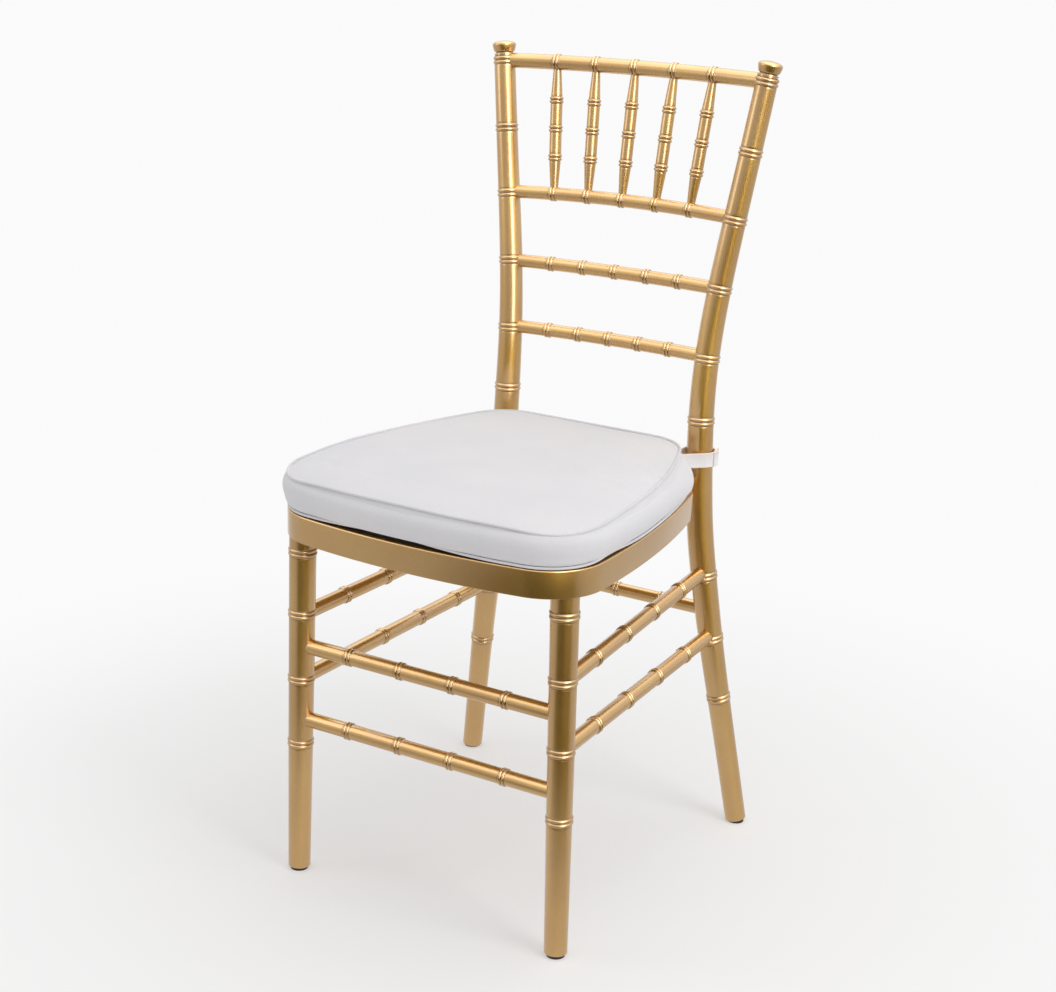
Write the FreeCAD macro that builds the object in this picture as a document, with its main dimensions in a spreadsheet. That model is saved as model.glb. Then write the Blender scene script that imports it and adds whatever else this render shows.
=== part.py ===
import FreeCAD, Part
import math
import os
from types import SimpleNamespace

import Sketcher
from FreeCAD import Placement, Rotation, Vector

# Chiavari chair in turned and bent wood, painted, with a loose tie-on cushion.
# Front of the chair faces -Y, +Z is up, the origin is on the floor under the
# middle of the chair. Depths are measured back from the axes of the front legs.

doc = FreeCAD.newDocument("chiavari_chair")
sheet = doc.addObject("Spreadsheet::Sheet", "Sizes")

# Driving sizes in millimetres
SIZES = {
    # place of the front legs in the part's frame
    "front_leg_y": -178.9,
    # foot glides
    "glide_height": 2.5,
    "glide_radius": 10.0,
    "tack_radius": 1.2,
    "tack_length": 14.0,
    "foot_chamfer": 1.6,
    # front legs, leaning slightly outward towards the floor
    "leg_foot_spread": 171.4,
    "leg_top_spread": 165.4,
    "leg_foot_radius": 12.7,
    "leg_shin_radius": 13.9,
    "leg_shin_height": 160.0,
    "leg_top_radius": 15.0,
    "leg_top_drop": 28.5,
    "leg_tenon_radius": 10.0,
    "leg_tenon_length": 20.0,
    "leg_ring_1_drop": 22.3,
    "leg_ring_2_height": 314.3,
    "leg_ring_3_height": 236.6,
    "leg_ring_4_height": 159.0,
    # double bead on legs and posts
    "post_bead_radius": 2.3,
    "post_bead_pitch": 4.8,
    "post_bead_proud": 1.1,
    "post_band_reach": 4.9,
    # double bead on rails, stretchers and spindles
    "rail_bead_radius": 1.95,
    "rail_bead_pitch": 4.1,
    "rail_bead_proud": 1.25,
    "rail_band_reach": 4.2,
    # rear post, station by station from the floor up
    "foot_height": 2.5, "foot_spread": 192.6, "foot_depth": 400.0, "foot_radius": 12.6,
    "shin_height": 120.0, "shin_spread": 175.3, "shin_depth": 384.7, "shin_radius": 13.1,
    "calf_height": 240.0, "calf_spread": 157.2, "calf_depth": 370.4, "calf_radius": 14.5,
    "knee_height": 320.0, "knee_spread": 145.4, "knee_depth": 364.7, "knee_radius": 15.4,
    "thigh_height": 380.0, "thigh_spread": 137.9, "thigh_depth": 362.2, "thigh_radius": 15.5,
    "hip_height": 440.0, "hip_spread": 133.6, "hip_depth": 361.5, "hip_radius": 15.4,
    "waist_height": 507.0, "waist_spread": 131.3, "waist_depth": 361.6, "waist_radius": 14.9,
    "lumbar_height": 580.0, "lumbar_spread": 132.2, "lumbar_depth": 365.7, "lumbar_radius": 14.2,
    "chest_height": 660.0, "chest_spread": 138.9, "chest_depth": 373.0, "chest_radius": 13.7,
    "shoulder_height": 760.0, "shoulder_spread": 152.1, "shoulder_depth": 382.6,
    "shoulder_radius": 13.0,
    "neck_height": 895.4, "neck_spread": 170.4, "neck_depth": 395.8, "neck_radius": 12.5,
    "post_ring_1_height": 890.8,
    "post_ring_2_height": 813.5,
    "post_ring_3_height": 738.0,
    "post_ring_4_height": 659.7,
    "post_ring_5_height": 579.8,
    "post_ring_6_height": 507.1,
    "post_ring_7_height": 320.4,
    "post_ring_8_height": 242.0,
    "post_ring_9_height": 166.2,
    # finial on top of each rear post
    "finial_neck_radius": 9.9,
    "finial_neck_height": 4.0,
    "finial_foot_radius": 10.6,
    "finial_flare_radius": 12.4,
    "finial_flare_height": 2.2,
    "finial_cap_radius": 14.0,
    "finial_cap_height": 8.6,
    "finial_dome_height": 5.0,
    # rails of the back, bowed backwards and arched upwards
    "top_rail_height": 891.2, "top_rail_bow": 11.3, "top_rail_rise": 2.1,
    "top_rail_radius": 8.7, "top_rail_spacing": 50.7,
    "spindle_rail_height": 739.7, "spindle_rail_bow": 7.3, "spindle_rail_rise": 3.8,
    "spindle_rail_radius": 7.8, "spindle_rail_spacing": 44.9,
    "upper_cross_height": 659.5, "upper_cross_bow": 6.3, "upper_cross_rise": 1.0,
    "upper_cross_radius": 7.8, "upper_cross_spacing": 42.3,
    "lower_cross_height": 581.1, "lower_cross_bow": 5.2, "lower_cross_rise": 0.8,
    "lower_cross_radius": 7.8, "lower_cross_spacing": 40.3,
    # round tenons and how deep a shoulder sinks into the leg or post
    "rail_tenon_radius": 5.5,
    "rail_tenon_length": 8.0,
    "shoulder_sink": 4.0,
    # spindles of the back
    "spindle_radius": 7.1,
    "spindle_top_radius": 4.6,
    "spindle_foot_radius": 4.5,
    "spindle_sink": 3.6,
    # stretchers between the legs
    "front_upper_height": 275.9,
    "front_lower_height": 188.2,
    "front_stretcher_radius": 8.75,
    "side_upper_front_height": 311.6,
    "side_upper_rear_height": 324.1,
    "side_lower_front_height": 235.6,
    "side_lower_rear_height": 246.0,
    "side_stretcher_radius": 8.7,
    "rear_stretcher_height": 277.0,
    "rear_stretcher_radius": 7.9,
    # seat frame seen from above
    "seat_under_height": 408.5,
    "rim_height": 30.0,
    "rim_width": 32.0,
    "rim_edge_round": 1.5,
    "seat_half_width": 191.4,
    "seat_overhang": 47.3,
    "seat_front_bow_radius": 850.0,
    "seat_corner_radius": 66.0,
    "seat_side_bow_radius": 1100.0,
    "seat_side_depth": 296.0,
    "seat_inner_depth": 325.0,
    "seat_heel_depth": 356.0,
    "seat_heel_spread": 124.0,
    "seat_rear_depth": 371.0,
    "front_joint_depth": 32.0,
    # seat panel let into the frame
    "panel_thickness": 9.0,
    "panel_ledge": 10.0,
    # corner blocks, dowels and screws
    "block_height": 18.0,
    "block_depth": 30.0,
    "block_reach": 130.0,
    "dowel_radius": 4.0,
    "dowel_length": 36.0,
    "dowel_offset": 6.5,
    "dowel_rear_shift": 4.0,
    "screw_radius": 1.8,
    "screw_head_radius": 3.6,
    "screw_head_height": 2.0,
    "block_screw_length": 34.0,
    "block_screw_lift": 4.0,
    "block_screw_cross": 18.0,
    "block_screw_side": 26.0,
    "panel_screw_length": 18.0,
    "panel_screw_front_spread": 90.0,
    "panel_screw_rear_spread": 60.0,
    "panel_screw_fore_depth": 100.0,
    "panel_screw_aft_depth": 240.0,
    "post_screw_radius": 3.0,
    "post_screw_head_radius": 5.5,
    "post_screw_head_height": 3.5,
    "post_screw_length": 58.0,
    "post_screw_angle": 48.0,
    "post_screw_sink": 1.0,
    # cushion
    "cushion_clearance": 0.4,
    "base_thickness": 4.0,
    "base_inset": 7.0,
    "cushion_band_height": 38.5,
    "cushion_tilt": 0.9,
    "cushion_bulge": 6.5,
    "cushion_top_side_bow_radius": 640.0,
    "cushion_rear_depth": 337.0,
    "cushion_rear_corner_radius": 64.0,
    "crown_shoulder_inset": 12.0,
    "crown_shoulder_rise": 3.6,
    "crown_inset": 40.0,
    "crown_rise": 7.5,
    "cover_thickness": 1.2,
    "piping_radius": 2.3,
    "piping_stand_off": 1.4,
    "strap_lift": 11.4,
    "strap_width": 17.4,
    "strap_thickness": 1.6,
    "strap_slack": 1.9,
    "strap_angle": 222.0,
    "strap_tail_length": 34.0,
    "strap_pad_thickness": 1.2,
    "strap_pad_arc": 70.0,
    "strap_pad_turn": 20.0,
}

# Sizes that follow from the driving ones, as formulas in the sheet
FORMULAS = {
    "seat_top_height": "=seat_under_height + rim_height",
    "seat_front_y": "=front_leg_y - seat_overhang",
    "panel_under_height": "=seat_under_height + rim_height - panel_thickness",
    "rim_inner_height": "=rim_height - panel_thickness",
    "rail_middle_height": "=seat_under_height + rim_height / 2",
    "leg_top_height": "=seat_under_height - leg_top_drop",
    "leg_ring_1_height": "=seat_under_height - leg_ring_1_drop",
    "leg_tenon_top": "=seat_under_height + leg_tenon_length",
    "leg_chamfer_height": "=glide_height + foot_chamfer",
    "leg_chamfer_radius": "=leg_foot_radius - foot_chamfer",
    "finial_cap_top": "=finial_neck_height + finial_cap_height",
    "finial_flare_top": "=finial_neck_height + finial_flare_height",
    "finial_top": "=finial_neck_height + finial_cap_height + finial_dome_height",
    "post_bead_sink": "=post_bead_radius - post_bead_proud",
    "rail_bead_sink": "=rail_bead_radius - rail_bead_proud",
    "cushion_floor": "=seat_under_height + rim_height + cushion_clearance",
    "cushion_under": "=cushion_floor + base_thickness",
    "strap_bottom_height": "=cushion_floor + strap_lift",
    "block_height_low": "=panel_under_height - block_height",
    "block_screw_height": "=block_height_low + block_screw_lift",
    "cushion_waist_height": "=cushion_under + cushion_band_height / 2",
    "cushion_seam_height": "=cushion_under + cushion_band_height",
    "crown_shoulder_height": "=cushion_seam_height + crown_shoulder_rise",
    "crown_height": "=cushion_seam_height + crown_rise",
    "piping_bottom_height": "=cushion_floor + piping_radius",
}

STATIONS = ("foot", "shin", "calf", "knee", "thigh", "hip", "waist", "lumbar", "chest",
            "shoulder", "neck")
RINGS_ON_POST = 9
RINGS_ON_LEG = 4
RINGS_ON_RAIL = 5
RINGS_ON_STRETCHER = 4
RINGS_ON_SPINDLE = 3
SIDES = (("right", 1), ("left", -1))

for line, (alias, value) in enumerate({**SIZES, **FORMULAS}.items(), start=1):
    sheet.set(f"A{line}", alias)
    sheet.set(f"B{line}", str(value))
    sheet.setAlias(f"B{line}", alias)
doc.recompute()

size = SimpleNamespace(**{alias: float(sheet.get(alias)) for alias in {**SIZES, **FORMULAS}})
X, Y, Z = Vector(1, 0, 0), Vector(0, 1, 0), Vector(0, 0, 1)
made = {}


def bind(feature, **cells):
    for prop, cell in cells.items():
        feature.setExpression(prop, cell)
    return feature


def sub_part(name, feature):
    feature.Label = name
    made[name] = feature
    return feature


def origin_of(body, role):
    return next(item for item in body.Origin.OriginFeatures if item.Role == role)


def along(start, direction):
    return Placement(start, Rotation(Z, direction))


def fuse(name, shapes):
    joined = doc.addObject("Part::MultiFuse", name)
    joined.Shapes = shapes
    return joined


def cut(name, base, tools):
    if len(tools) > 1:
        tool = fuse(name + "_tool", tools)
    else:
        tool = tools[0]
    result = doc.addObject("Part::Cut", name)
    result.Base, result.Tool = base, tool
    return result


def common(name, base, tool):
    result = doc.addObject("Part::Common", name)
    result.Base, result.Tool = base, tool
    return result


def mirrored(name, source):
    copy = doc.addObject("Part::Mirroring", name)
    copy.Source = source
    copy.Normal = X
    return copy


def group(name, shapes):
    bundle = doc.addObject("Part::Compound", name)
    bundle.Links = shapes
    return bundle


def cylinder(name, radius, height, placement):
    rod = doc.addObject("Part::Cylinder", name)
    bind(rod, Radius=radius, Height=height)
    rod.Placement = placement
    return rod


# A closed sketch of straight lines whose corners are pairs of sheet cells.
# "0" stands for a corner on the axis.
def corner_sketch(body, name, corners, plane="XZ_Plane"):
    sketch = body.newObject("Sketcher::SketchObject", name)
    sketch.AttachmentSupport = (origin_of(body, plane), [""])
    sketch.MapMode = "FlatFace"
    points = [Vector(getattr(size, u, 0.0), getattr(size, v, 0.0), 0) for u, v in corners]
    count = len(points)
    for index in range(count):
        sketch.addGeometry(Part.LineSegment(points[index], points[(index + 1) % count]))
    for index in range(count):
        sketch.addConstraint(Sketcher.Constraint("Coincident", index, 2, (index + 1) % count, 1))
    for index, (u, v) in enumerate(corners):
        for kind, cell, axis in (("DistanceX", u, -2), ("DistanceY", v, -1)):
            if cell == "0":
                sketch.addConstraint(Sketcher.Constraint("PointOnObject", index, 1, axis))
            else:
                spot = sketch.addConstraint(
                    Sketcher.Constraint(kind, -1, 1, index, 1, getattr(size, cell)))
                sketch.setExpression(f"Constraints[{spot}]", f"Sizes.{cell}")
    return sketch


def turned(body, name, corners):
    sketch = corner_sketch(body, name + "_profile", corners)
    turn = body.newObject("PartDesign::Revolution", name)
    turn.Profile = sketch
    turn.ReferenceAxis = (sketch, ["V_Axis"])
    turn.Angle = 360
    return turn


# Centre line of a rear post, through its stations
def post_point(station):
    return Vector(getattr(size, station + "_spread"),
                  size.front_leg_y + getattr(size, station + "_depth"),
                  getattr(size, station + "_height"))


post_line = Part.BSplineCurve()
post_line.interpolate([post_point(station) for station in STATIONS])
post_girth = Part.BSplineCurve()
post_girth.interpolate([Vector(getattr(size, s + "_radius"), 0, getattr(size, s + "_height"))
                        for s in STATIONS])


def at_height(curve, height):
    low, high = curve.FirstParameter, curve.LastParameter
    for _ in range(60):
        middle = (low + high) / 2
        if curve.value(middle).z < height:
            low = middle
        else:
            high = middle
    return low


def post_at(height):
    spot = at_height(post_line, height)
    return post_line.value(spot), post_line.tangent(spot)[0]


def post_radius(height):
    return post_girth.value(at_height(post_girth, height)).x


def leg_point(height):
    share = height / size.seat_under_height
    spread = size.leg_foot_spread + (size.leg_top_spread - size.leg_foot_spread) * share
    return Vector(spread, size.front_leg_y, height)


def leg_radius(height):
    if height < size.leg_shin_height:
        low, high = size.glide_height, size.leg_shin_height
        thin, thick = size.leg_foot_radius, size.leg_shin_radius
    else:
        low, high = size.leg_shin_height, size.leg_top_height
        thin, thick = size.leg_shin_radius, size.leg_top_radius
    share = min(1.0, (height - low) / (high - low))
    return thin + (thick - thin) * share


def flip(point, side):
    return Vector(point.x * side, point.y, point.z)


# A ring: a short cylinder that carries two half-round beads side by side
def ring_band(name, centre, axis, radius, kind):
    reach = getattr(size, kind + "_band_reach")
    core = doc.addObject("Part::Cylinder", name + "_core")
    core.Radius = radius
    bind(core, Height=f"2 * Sizes.{kind}_band_reach")
    core.Placement = along(centre - axis * reach, axis)
    pieces = [core]
    for index, shift in enumerate((-0.5, 0.5)):
        bead = doc.addObject("Part::Torus", f"{name}_bead_{index}")
        bead.Radius1 = radius - getattr(size, kind + "_bead_sink")
        bind(bead, Radius2=f"Sizes.{kind}_bead_radius")
        bead.Placement = along(centre + axis * (shift * getattr(size, kind + "_bead_pitch")), axis)
        pieces.append(bead)
    return fuse(name, pieces)


# A round run through sections given as (centre, axis, radius)
def round_run(name, sections):
    circles = []
    for index, (centre, axis, radius) in enumerate(sections):
        circle = doc.addObject("Part::Circle", f"{name}_section_{index}")
        circle.Radius = radius
        circle.Placement = along(centre, axis)
        circles.append(circle)
    run = doc.addObject("Part::Loft", name)
    run.Sections = circles
    run.Solid = True
    return run


# Rear posts: round runs from ring to ring, and a turned finial
def post_section(height):
    centre, tangent = post_at(height)
    return centre, tangent, post_radius(height)


def rear_post_blank():
    reach = size.post_band_reach
    foot, _, foot_radius = post_section(size.foot_height)
    eased = foot_radius - size.foot_chamfer
    heel = foot + post_line.tangent(0)[0] * size.foot_chamfer
    pieces = [round_run("post_heel", [(foot, Z, eased), (heel, Z, foot_radius)])]
    below = (heel, Z, foot_radius)
    low = heel.z
    for number in range(RINGS_ON_POST, 0, -1):
        height = getattr(size, f"post_ring_{number}_height")
        centre, tangent, radius = post_section(height)
        steps = [low + (height - low) * share for share in (0.25, 0.5, 0.75)]
        above = (centre - tangent * reach, tangent, radius)
        pieces.append(round_run(f"post_run_{number}",
                                [below] + [post_section(step) for step in steps] + [above]))
        pieces.append(ring_band(f"post_ring_{number}", centre, tangent, radius, "post"))
        below = (centre + tangent * reach, tangent, radius)
        low = height
    pieces.append(finial(below[0], below[1]))
    return fuse("post_blank", pieces)


def finial(foot, axis):
    body = doc.addObject("PartDesign::Body", "finial")
    profile = body.newObject("Sketcher::SketchObject", "finial_profile")
    profile.AttachmentSupport = (origin_of(body, "XZ_Plane"), [""])
    profile.MapMode = "FlatFace"
    root = Vector()
    neck_low = Vector(size.finial_neck_radius, 0, 0)
    neck_high = Vector(size.finial_neck_radius, size.finial_neck_height, 0)
    cap_foot = Vector(size.finial_foot_radius, size.finial_neck_height, 0)
    cap_flare = Vector(size.finial_flare_radius, size.finial_flare_top, 0)
    cap_edge = Vector(size.finial_cap_radius, size.finial_cap_top, 0)
    apex = Vector(0, size.finial_top, 0)
    belly = (cap_foot + cap_flare) * 0.5 + Vector(1, -1, 0) * (size.finial_flare_height / 8)
    crest = Vector(size.finial_cap_radius * math.sin(math.radians(45)),
                   size.finial_cap_top + size.finial_dome_height * math.sin(math.radians(45)), 0)
    corners = [(root, None, neck_low), (neck_low, None, neck_high), (neck_high, None, cap_foot),
               (cap_foot, belly, cap_flare), (cap_flare, None, cap_edge), (apex, None, root)]
    for start, through, end in corners:
        if through is None:
            profile.addGeometry(Part.LineSegment(start, end))
        else:
            profile.addGeometry(Part.Arc(start, through, end))
    dome = Part.BSplineCurve()
    shoulder = Vector(size.finial_cap_radius, crest.y, 0)
    brow = Vector(size.finial_cap_radius * 0.62, size.finial_top, 0)
    dome.buildFromPolesMultsKnots([cap_edge, shoulder, brow, apex], [4, 4], [0, 1], False, 3)
    profile.addGeometry(dome)
    turn = body.newObject("PartDesign::Revolution", "finial_turning")
    turn.Profile = profile
    turn.ReferenceAxis = (profile, ["V_Axis"])
    turn.Angle = 360
    body.Placement = along(foot, axis)
    return body


# A bowed rail of the back: an arc in a plane that leans up to the rear, with a ring at each
# spindle
def bowed_rail(name):
    height = getattr(size, name + "_height")
    swing = Vector(0, getattr(size, name + "_bow"), getattr(size, name + "_rise"))
    radius = getattr(size, name + "_radius")
    end, _ = post_at(height)
    bend = (end.x ** 2 + swing.Length ** 2) / (2 * swing.Length)
    backward = Vector(swing).normalize()
    centre = Vector(0, end.y, height) + swing - backward * bend
    pitch_turn = getattr(size, name + "_spacing") / bend
    shoulder_turn = math.asin(end.x / bend) - (post_radius(height) - size.shoulder_sink) / bend

    def section(turn):
        outward = X * math.sin(turn) + backward * math.cos(turn)
        return centre + outward * bend, X * math.cos(turn) - backward * math.sin(turn), radius

    reach = size.rail_band_reach
    turns = [pitch_turn * (number - (RINGS_ON_RAIL - 1) / 2) for number in range(RINGS_ON_RAIL)]
    below, low = section(-shoulder_turn), -shoulder_turn
    pieces = [tenon(f"{name}_tenon_0", below[0], below[1] * -1)]
    for number, turn in enumerate(turns):
        place, axis, _ = section(turn)
        pieces.append(round_run(f"{name}_run_{number}",
                                [below, section((low + turn) / 2),
                                 (place - axis * reach, axis, radius)]))
        pieces.append(ring_band(f"{name}_ring_{number}", place, axis, radius, "rail"))
        below, low = (place + axis * reach, axis, radius), turn
    last = section(shoulder_turn)
    pieces.append(round_run(f"{name}_run_end",
                            [below, section((low + shoulder_turn) / 2), last]))
    pieces.append(tenon(f"{name}_tenon_1", last[0], last[1]))
    return fuse(name + "_blank", pieces), [section(turn)[0] for turn in turns]


def tenon(name, shoulder, axis):
    return cylinder(name, "Sizes.rail_tenon_radius", "Sizes.rail_tenon_length",
                    along(shoulder, axis))


# A straight round stretcher with tenons and evenly shared rings
def straight_rail(name, start, end, start_radius, end_radius, radius_cell):
    radius = getattr(size, radius_cell)
    direction = (end - start).normalize()
    first = start + direction * (start_radius - size.shoulder_sink)
    last = end - direction * (end_radius - size.shoulder_sink)
    length = (last - first).Length
    body = doc.addObject("PartDesign::Body", name + "_body")
    rod = body.newObject("PartDesign::AdditiveCylinder", name + "_rod")
    bind(rod, Radius=f"Sizes.{radius_cell}")
    rod.Height = length
    for index, (place, way) in enumerate(((0, -1), (length, 1))):
        stub = body.newObject("PartDesign::AdditiveCylinder", f"{name}_tenon_{index}")
        bind(stub, Radius="Sizes.rail_tenon_radius", Height="Sizes.rail_tenon_length")
        stub.Placement = along(Z * place, Z * way)
    gap = (end - start).Length / (RINGS_ON_STRETCHER + 1)
    add_rings(body, name, gap - start_radius + size.shoulder_sink, gap, RINGS_ON_STRETCHER,
              radius_cell)
    body.Placement = along(first, direction)
    return body


# Front leg: one turning with tenon, tilted outward, with four double beads
def front_leg_blank():
    body = doc.addObject("PartDesign::Body", "front_leg_body")
    turned(body, "leg_turning", [
        ("0", "glide_height"), ("leg_chamfer_radius", "glide_height"),
        ("leg_foot_radius", "leg_chamfer_height"), ("leg_shin_radius", "leg_shin_height"),
        ("leg_top_radius", "leg_top_height"), ("leg_top_radius", "seat_under_height"),
        ("leg_tenon_radius", "seat_under_height"), ("leg_tenon_radius", "leg_tenon_top"),
        ("0", "leg_tenon_top")])
    for number in range(1, RINGS_ON_LEG + 1):
        height = getattr(size, f"leg_ring_{number}_height")
        for index, shift in enumerate((-0.5, 0.5)):
            bead = body.newObject("PartDesign::AdditiveTorus", f"leg_bead_{number}_{index}")
            bead.Radius1 = leg_radius(height) - size.post_bead_sink
            bind(bead, Radius2="Sizes.post_bead_radius")
            bead.Placement = Placement(Z * (height + shift * size.post_bead_pitch), Rotation())
    foot = leg_point(0)
    body.Placement = along(foot, leg_point(size.seat_under_height) - foot)
    return body


# Spindle: conical end quarters, straight middle, a double bead at each quarter
def spindle(number, foot, head):
    lead_foot = size.spindle_rail_radius + size.rail_bead_proud
    lead_head = size.top_rail_radius + size.rail_bead_proud
    hidden = size.spindle_sink + size.rail_bead_proud
    direction = (head - foot).normalize()
    quarter = ((head - foot).Length - lead_foot - lead_head) / 4
    name = f"spindle_{number}"
    body = doc.addObject("PartDesign::Body", name + "_body")
    lower = body.newObject("PartDesign::AdditiveCone", name + "_lower")
    bind(lower, Radius1="Sizes.spindle_foot_radius", Radius2="Sizes.spindle_radius")
    lower.Height = hidden + quarter
    middle = body.newObject("PartDesign::AdditiveCylinder", name + "_middle")
    bind(middle, Radius="Sizes.spindle_radius")
    middle.Height = 2 * quarter
    middle.Placement = Placement(Z * (hidden + quarter), Rotation())
    upper = body.newObject("PartDesign::AdditiveCone", name + "_upper")
    bind(upper, Radius1="Sizes.spindle_radius", Radius2="Sizes.spindle_top_radius")
    upper.Height = hidden + quarter
    upper.Placement = Placement(Z * (hidden + 3 * quarter), Rotation())
    add_rings(body, name, hidden + quarter, quarter, RINGS_ON_SPINDLE, "spindle_radius")
    body.Placement = along(foot + direction * (lead_foot - hidden), direction)
    return body


# Double beads repeated along the axis of a body
def add_rings(body, name, first, gap, count, radius_cell):
    beads = []
    for index, shift in enumerate((-0.5, 0.5)):
        bead = body.newObject("PartDesign::AdditiveTorus", f"{name}_bead_{index}")
        bind(bead, Radius1=f"Sizes.{radius_cell} - Sizes.rail_bead_sink",
             Radius2="Sizes.rail_bead_radius")
        bead.Placement = Placement(Z * (first + shift * size.rail_bead_pitch), Rotation())
        beads.append(bead)
    spread = body.newObject("PartDesign::LinearPattern", name + "_rings")
    spread.Originals = beads
    spread.Direction = (origin_of(body, "Z_Axis"), [""])
    spread.Length = gap * (count - 1)
    spread.Occurrences = count
    body.Tip = spread


# Outlines seen from above: bowed front, round front corners and bowed sides.
# The rear end is the heel of the seat rim, a square end or a round end.
class Plan:
    def __init__(self, side_bow):
        self.front, self.corner, self.side = (size.seat_front_bow_radius,
                                              size.seat_corner_radius, side_bow)
        self.turn = math.asin((size.seat_half_width - self.corner) / (self.front - self.corner))
        self.front_centre = Vector(0, size.seat_front_y + self.front, 0)
        way = Vector(math.sin(self.turn), -math.cos(self.turn), 0)
        self.corner_centre = self.front_centre + way * (self.front - self.corner)
        self.side_centre = Vector(size.seat_half_width - side_bow, self.corner_centre.y, 0)

    def on_front(self, x, inset):
        bow = self.front - inset
        return Vector(x, self.front_centre.y - math.sqrt(bow ** 2 - x ** 2), 0)

    def on_corner(self, angle, inset):
        way = Vector(math.cos(angle), math.sin(angle), 0)
        return self.corner_centre + way * (self.corner - inset)

    def on_side(self, depth, inset):
        y = size.front_leg_y + depth
        bow = self.side - inset
        reach = math.sqrt(bow ** 2 - (y - self.side_centre.y) ** 2)
        return Vector(self.side_centre.x + reach, y, 0)

    def side_way(self, depth, inset):
        spoke = (self.on_side(depth, inset) - self.side_centre).normalize()
        return Vector(-spoke.y, spoke.x, 0)

    def fore(self, inset):
        start = self.on_corner(self.turn - math.pi / 2, inset)
        nose = self.on_front(0, inset)
        knuckle = self.on_corner((self.turn - math.pi / 2) / 2, inset)
        return start, nose, knuckle, self.on_corner(0, inset)

    def sides(self, inset, end):
        start, nose, knuckle, widest = self.fore(inset)
        middle = self.on_side((widest.y + end.y) / 2 - size.front_leg_y, inset)
        return [("front", flip(start, -1), nose, start), ("pair", start, knuckle, widest),
                ("pair", widest, middle, end)]

    def heel(self):
        end = self.on_side(size.seat_side_depth, 0)
        inner = Vector(size.seat_heel_spread, size.front_leg_y + size.seat_heel_depth, 0)
        rear = Vector(size.seat_heel_spread, size.front_leg_y + size.seat_rear_depth, 0)
        return self.sides(0, end) + [("pair", end, None, inner), ("pair", inner, None, rear),
                                     ("rear", rear, None, flip(rear, -1))]

    def square(self, inset):
        end = self.on_side(size.seat_inner_depth + size.rim_width - inset, inset)
        return self.sides(inset, end) + [("rear", end, None, flip(end, -1))]

    def rear_corner(self):
        corner = size.cushion_rear_corner_radius
        y = size.front_leg_y + size.cushion_rear_depth - corner
        reach = math.sqrt((self.side - corner) ** 2 - (y - self.side_centre.y) ** 2)
        return Vector(self.side_centre.x + reach, y, 0)

    def round(self, inset):
        corner = size.cushion_rear_corner_radius
        centre = self.rear_corner()
        spoke = (centre - self.side_centre).normalize()
        start = centre + spoke * (corner - inset)
        rear = centre + Y * (corner - inset)
        knuckle = centre + (spoke + Y).normalize() * (corner - inset)
        return self.sides(inset, start) + [("pair", start, knuckle, rear),
                                           ("rear", rear, None, flip(rear, -1))]


def plan_sketch(name, edges, height, tilt=0.0):
    sketch = doc.addObject("Sketcher::SketchObject", name)
    left = [(kind, flip(end, -1), through and flip(through, -1), flip(start, -1))
            for kind, start, through, end in reversed(edges) if kind == "pair"]
    for _, start, through, end in edges + left:
        if through is None:
            sketch.addGeometry(Part.LineSegment(start, end))
        else:
            sketch.addGeometry(Part.Arc(start, through, end))
    sketch.Placement = Placement(Vector(), Rotation(X, tilt))
    bind(sketch, **{"Placement.Base.z": height})
    return sketch


def prism(name, sketch, height):
    block = doc.addObject("Part::Extrusion", name)
    block.Base = sketch
    block.Dir = Z
    block.Solid = True
    bind(block, LengthFwd=height)
    return block


def box(name, corner, spans, rotation=Rotation()):
    solid = doc.addObject("Part::Box", name)
    solid.Length, solid.Width, solid.Height = spans
    solid.Placement = Placement(corner, rotation)
    return solid


# Countersunk screw: head flush at a point, shank along the driving direction
def screw(name, kind, head, direction, length_cell):
    cone = doc.addObject("Part::Cone", name + "_head")
    bind(cone, Radius1=f"Sizes.{kind}_head_radius", Radius2=f"Sizes.{kind}_radius",
         Height=f"Sizes.{kind}_head_height")
    cone.Placement = along(head, direction)
    shank = cylinder(name + "_shank", f"Sizes.{kind}_radius",
                     f"Sizes.{length_cell} - Sizes.{kind}_head_height",
                     along(head + direction * getattr(size, kind + "_head_height"), direction))
    return fuse(name, [cone, shank])


def foot_glide(name, centre):
    disc = cylinder(name + "_disc", "Sizes.glide_radius", "Sizes.glide_height",
                    Placement(Vector(centre.x, centre.y, 0), Rotation()))
    tack = cylinder(name + "_tack", "Sizes.tack_radius", "Sizes.tack_length",
                    Placement(Vector(centre.x, centre.y, size.glide_height), Rotation()))
    return fuse(name + "_whole", [disc, tack])


# Stretchers between the legs and posts
straight = {}
for level, cell in (("upper", "front_upper_height"), ("lower", "front_lower_height")):
    end = leg_point(getattr(size, cell))
    girth = leg_radius(end.z)
    straight["front_stretcher_" + level] = straight_rail(
        "front_stretcher_" + level, flip(end, -1), end, girth, girth, "front_stretcher_radius")
rear_end, _, rear_girth = post_section(size.rear_stretcher_height)
straight["rear_stretcher"] = straight_rail("rear_stretcher", flip(rear_end, -1), rear_end,
                                           rear_girth, rear_girth, "rear_stretcher_radius")
for level in ("upper", "lower"):
    front = leg_point(getattr(size, f"side_{level}_front_height"))
    rear, _, girth = post_section(getattr(size, f"side_{level}_rear_height"))
    straight[f"side_stretcher_{level}"] = straight_rail(
        f"side_stretcher_{level}", front, rear, leg_radius(front.z), girth,
        "side_stretcher_radius")
for name in ("front_stretcher_upper", "front_stretcher_lower", "rear_stretcher"):
    sub_part(name, straight[name])
for level in ("upper", "lower"):
    side = straight["side_stretcher_" + level]
    sub_part(f"side_stretcher_{level}_right", side)
    sub_part(f"side_stretcher_{level}_left", mirrored(f"side_{level}_left_copy", side))

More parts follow.
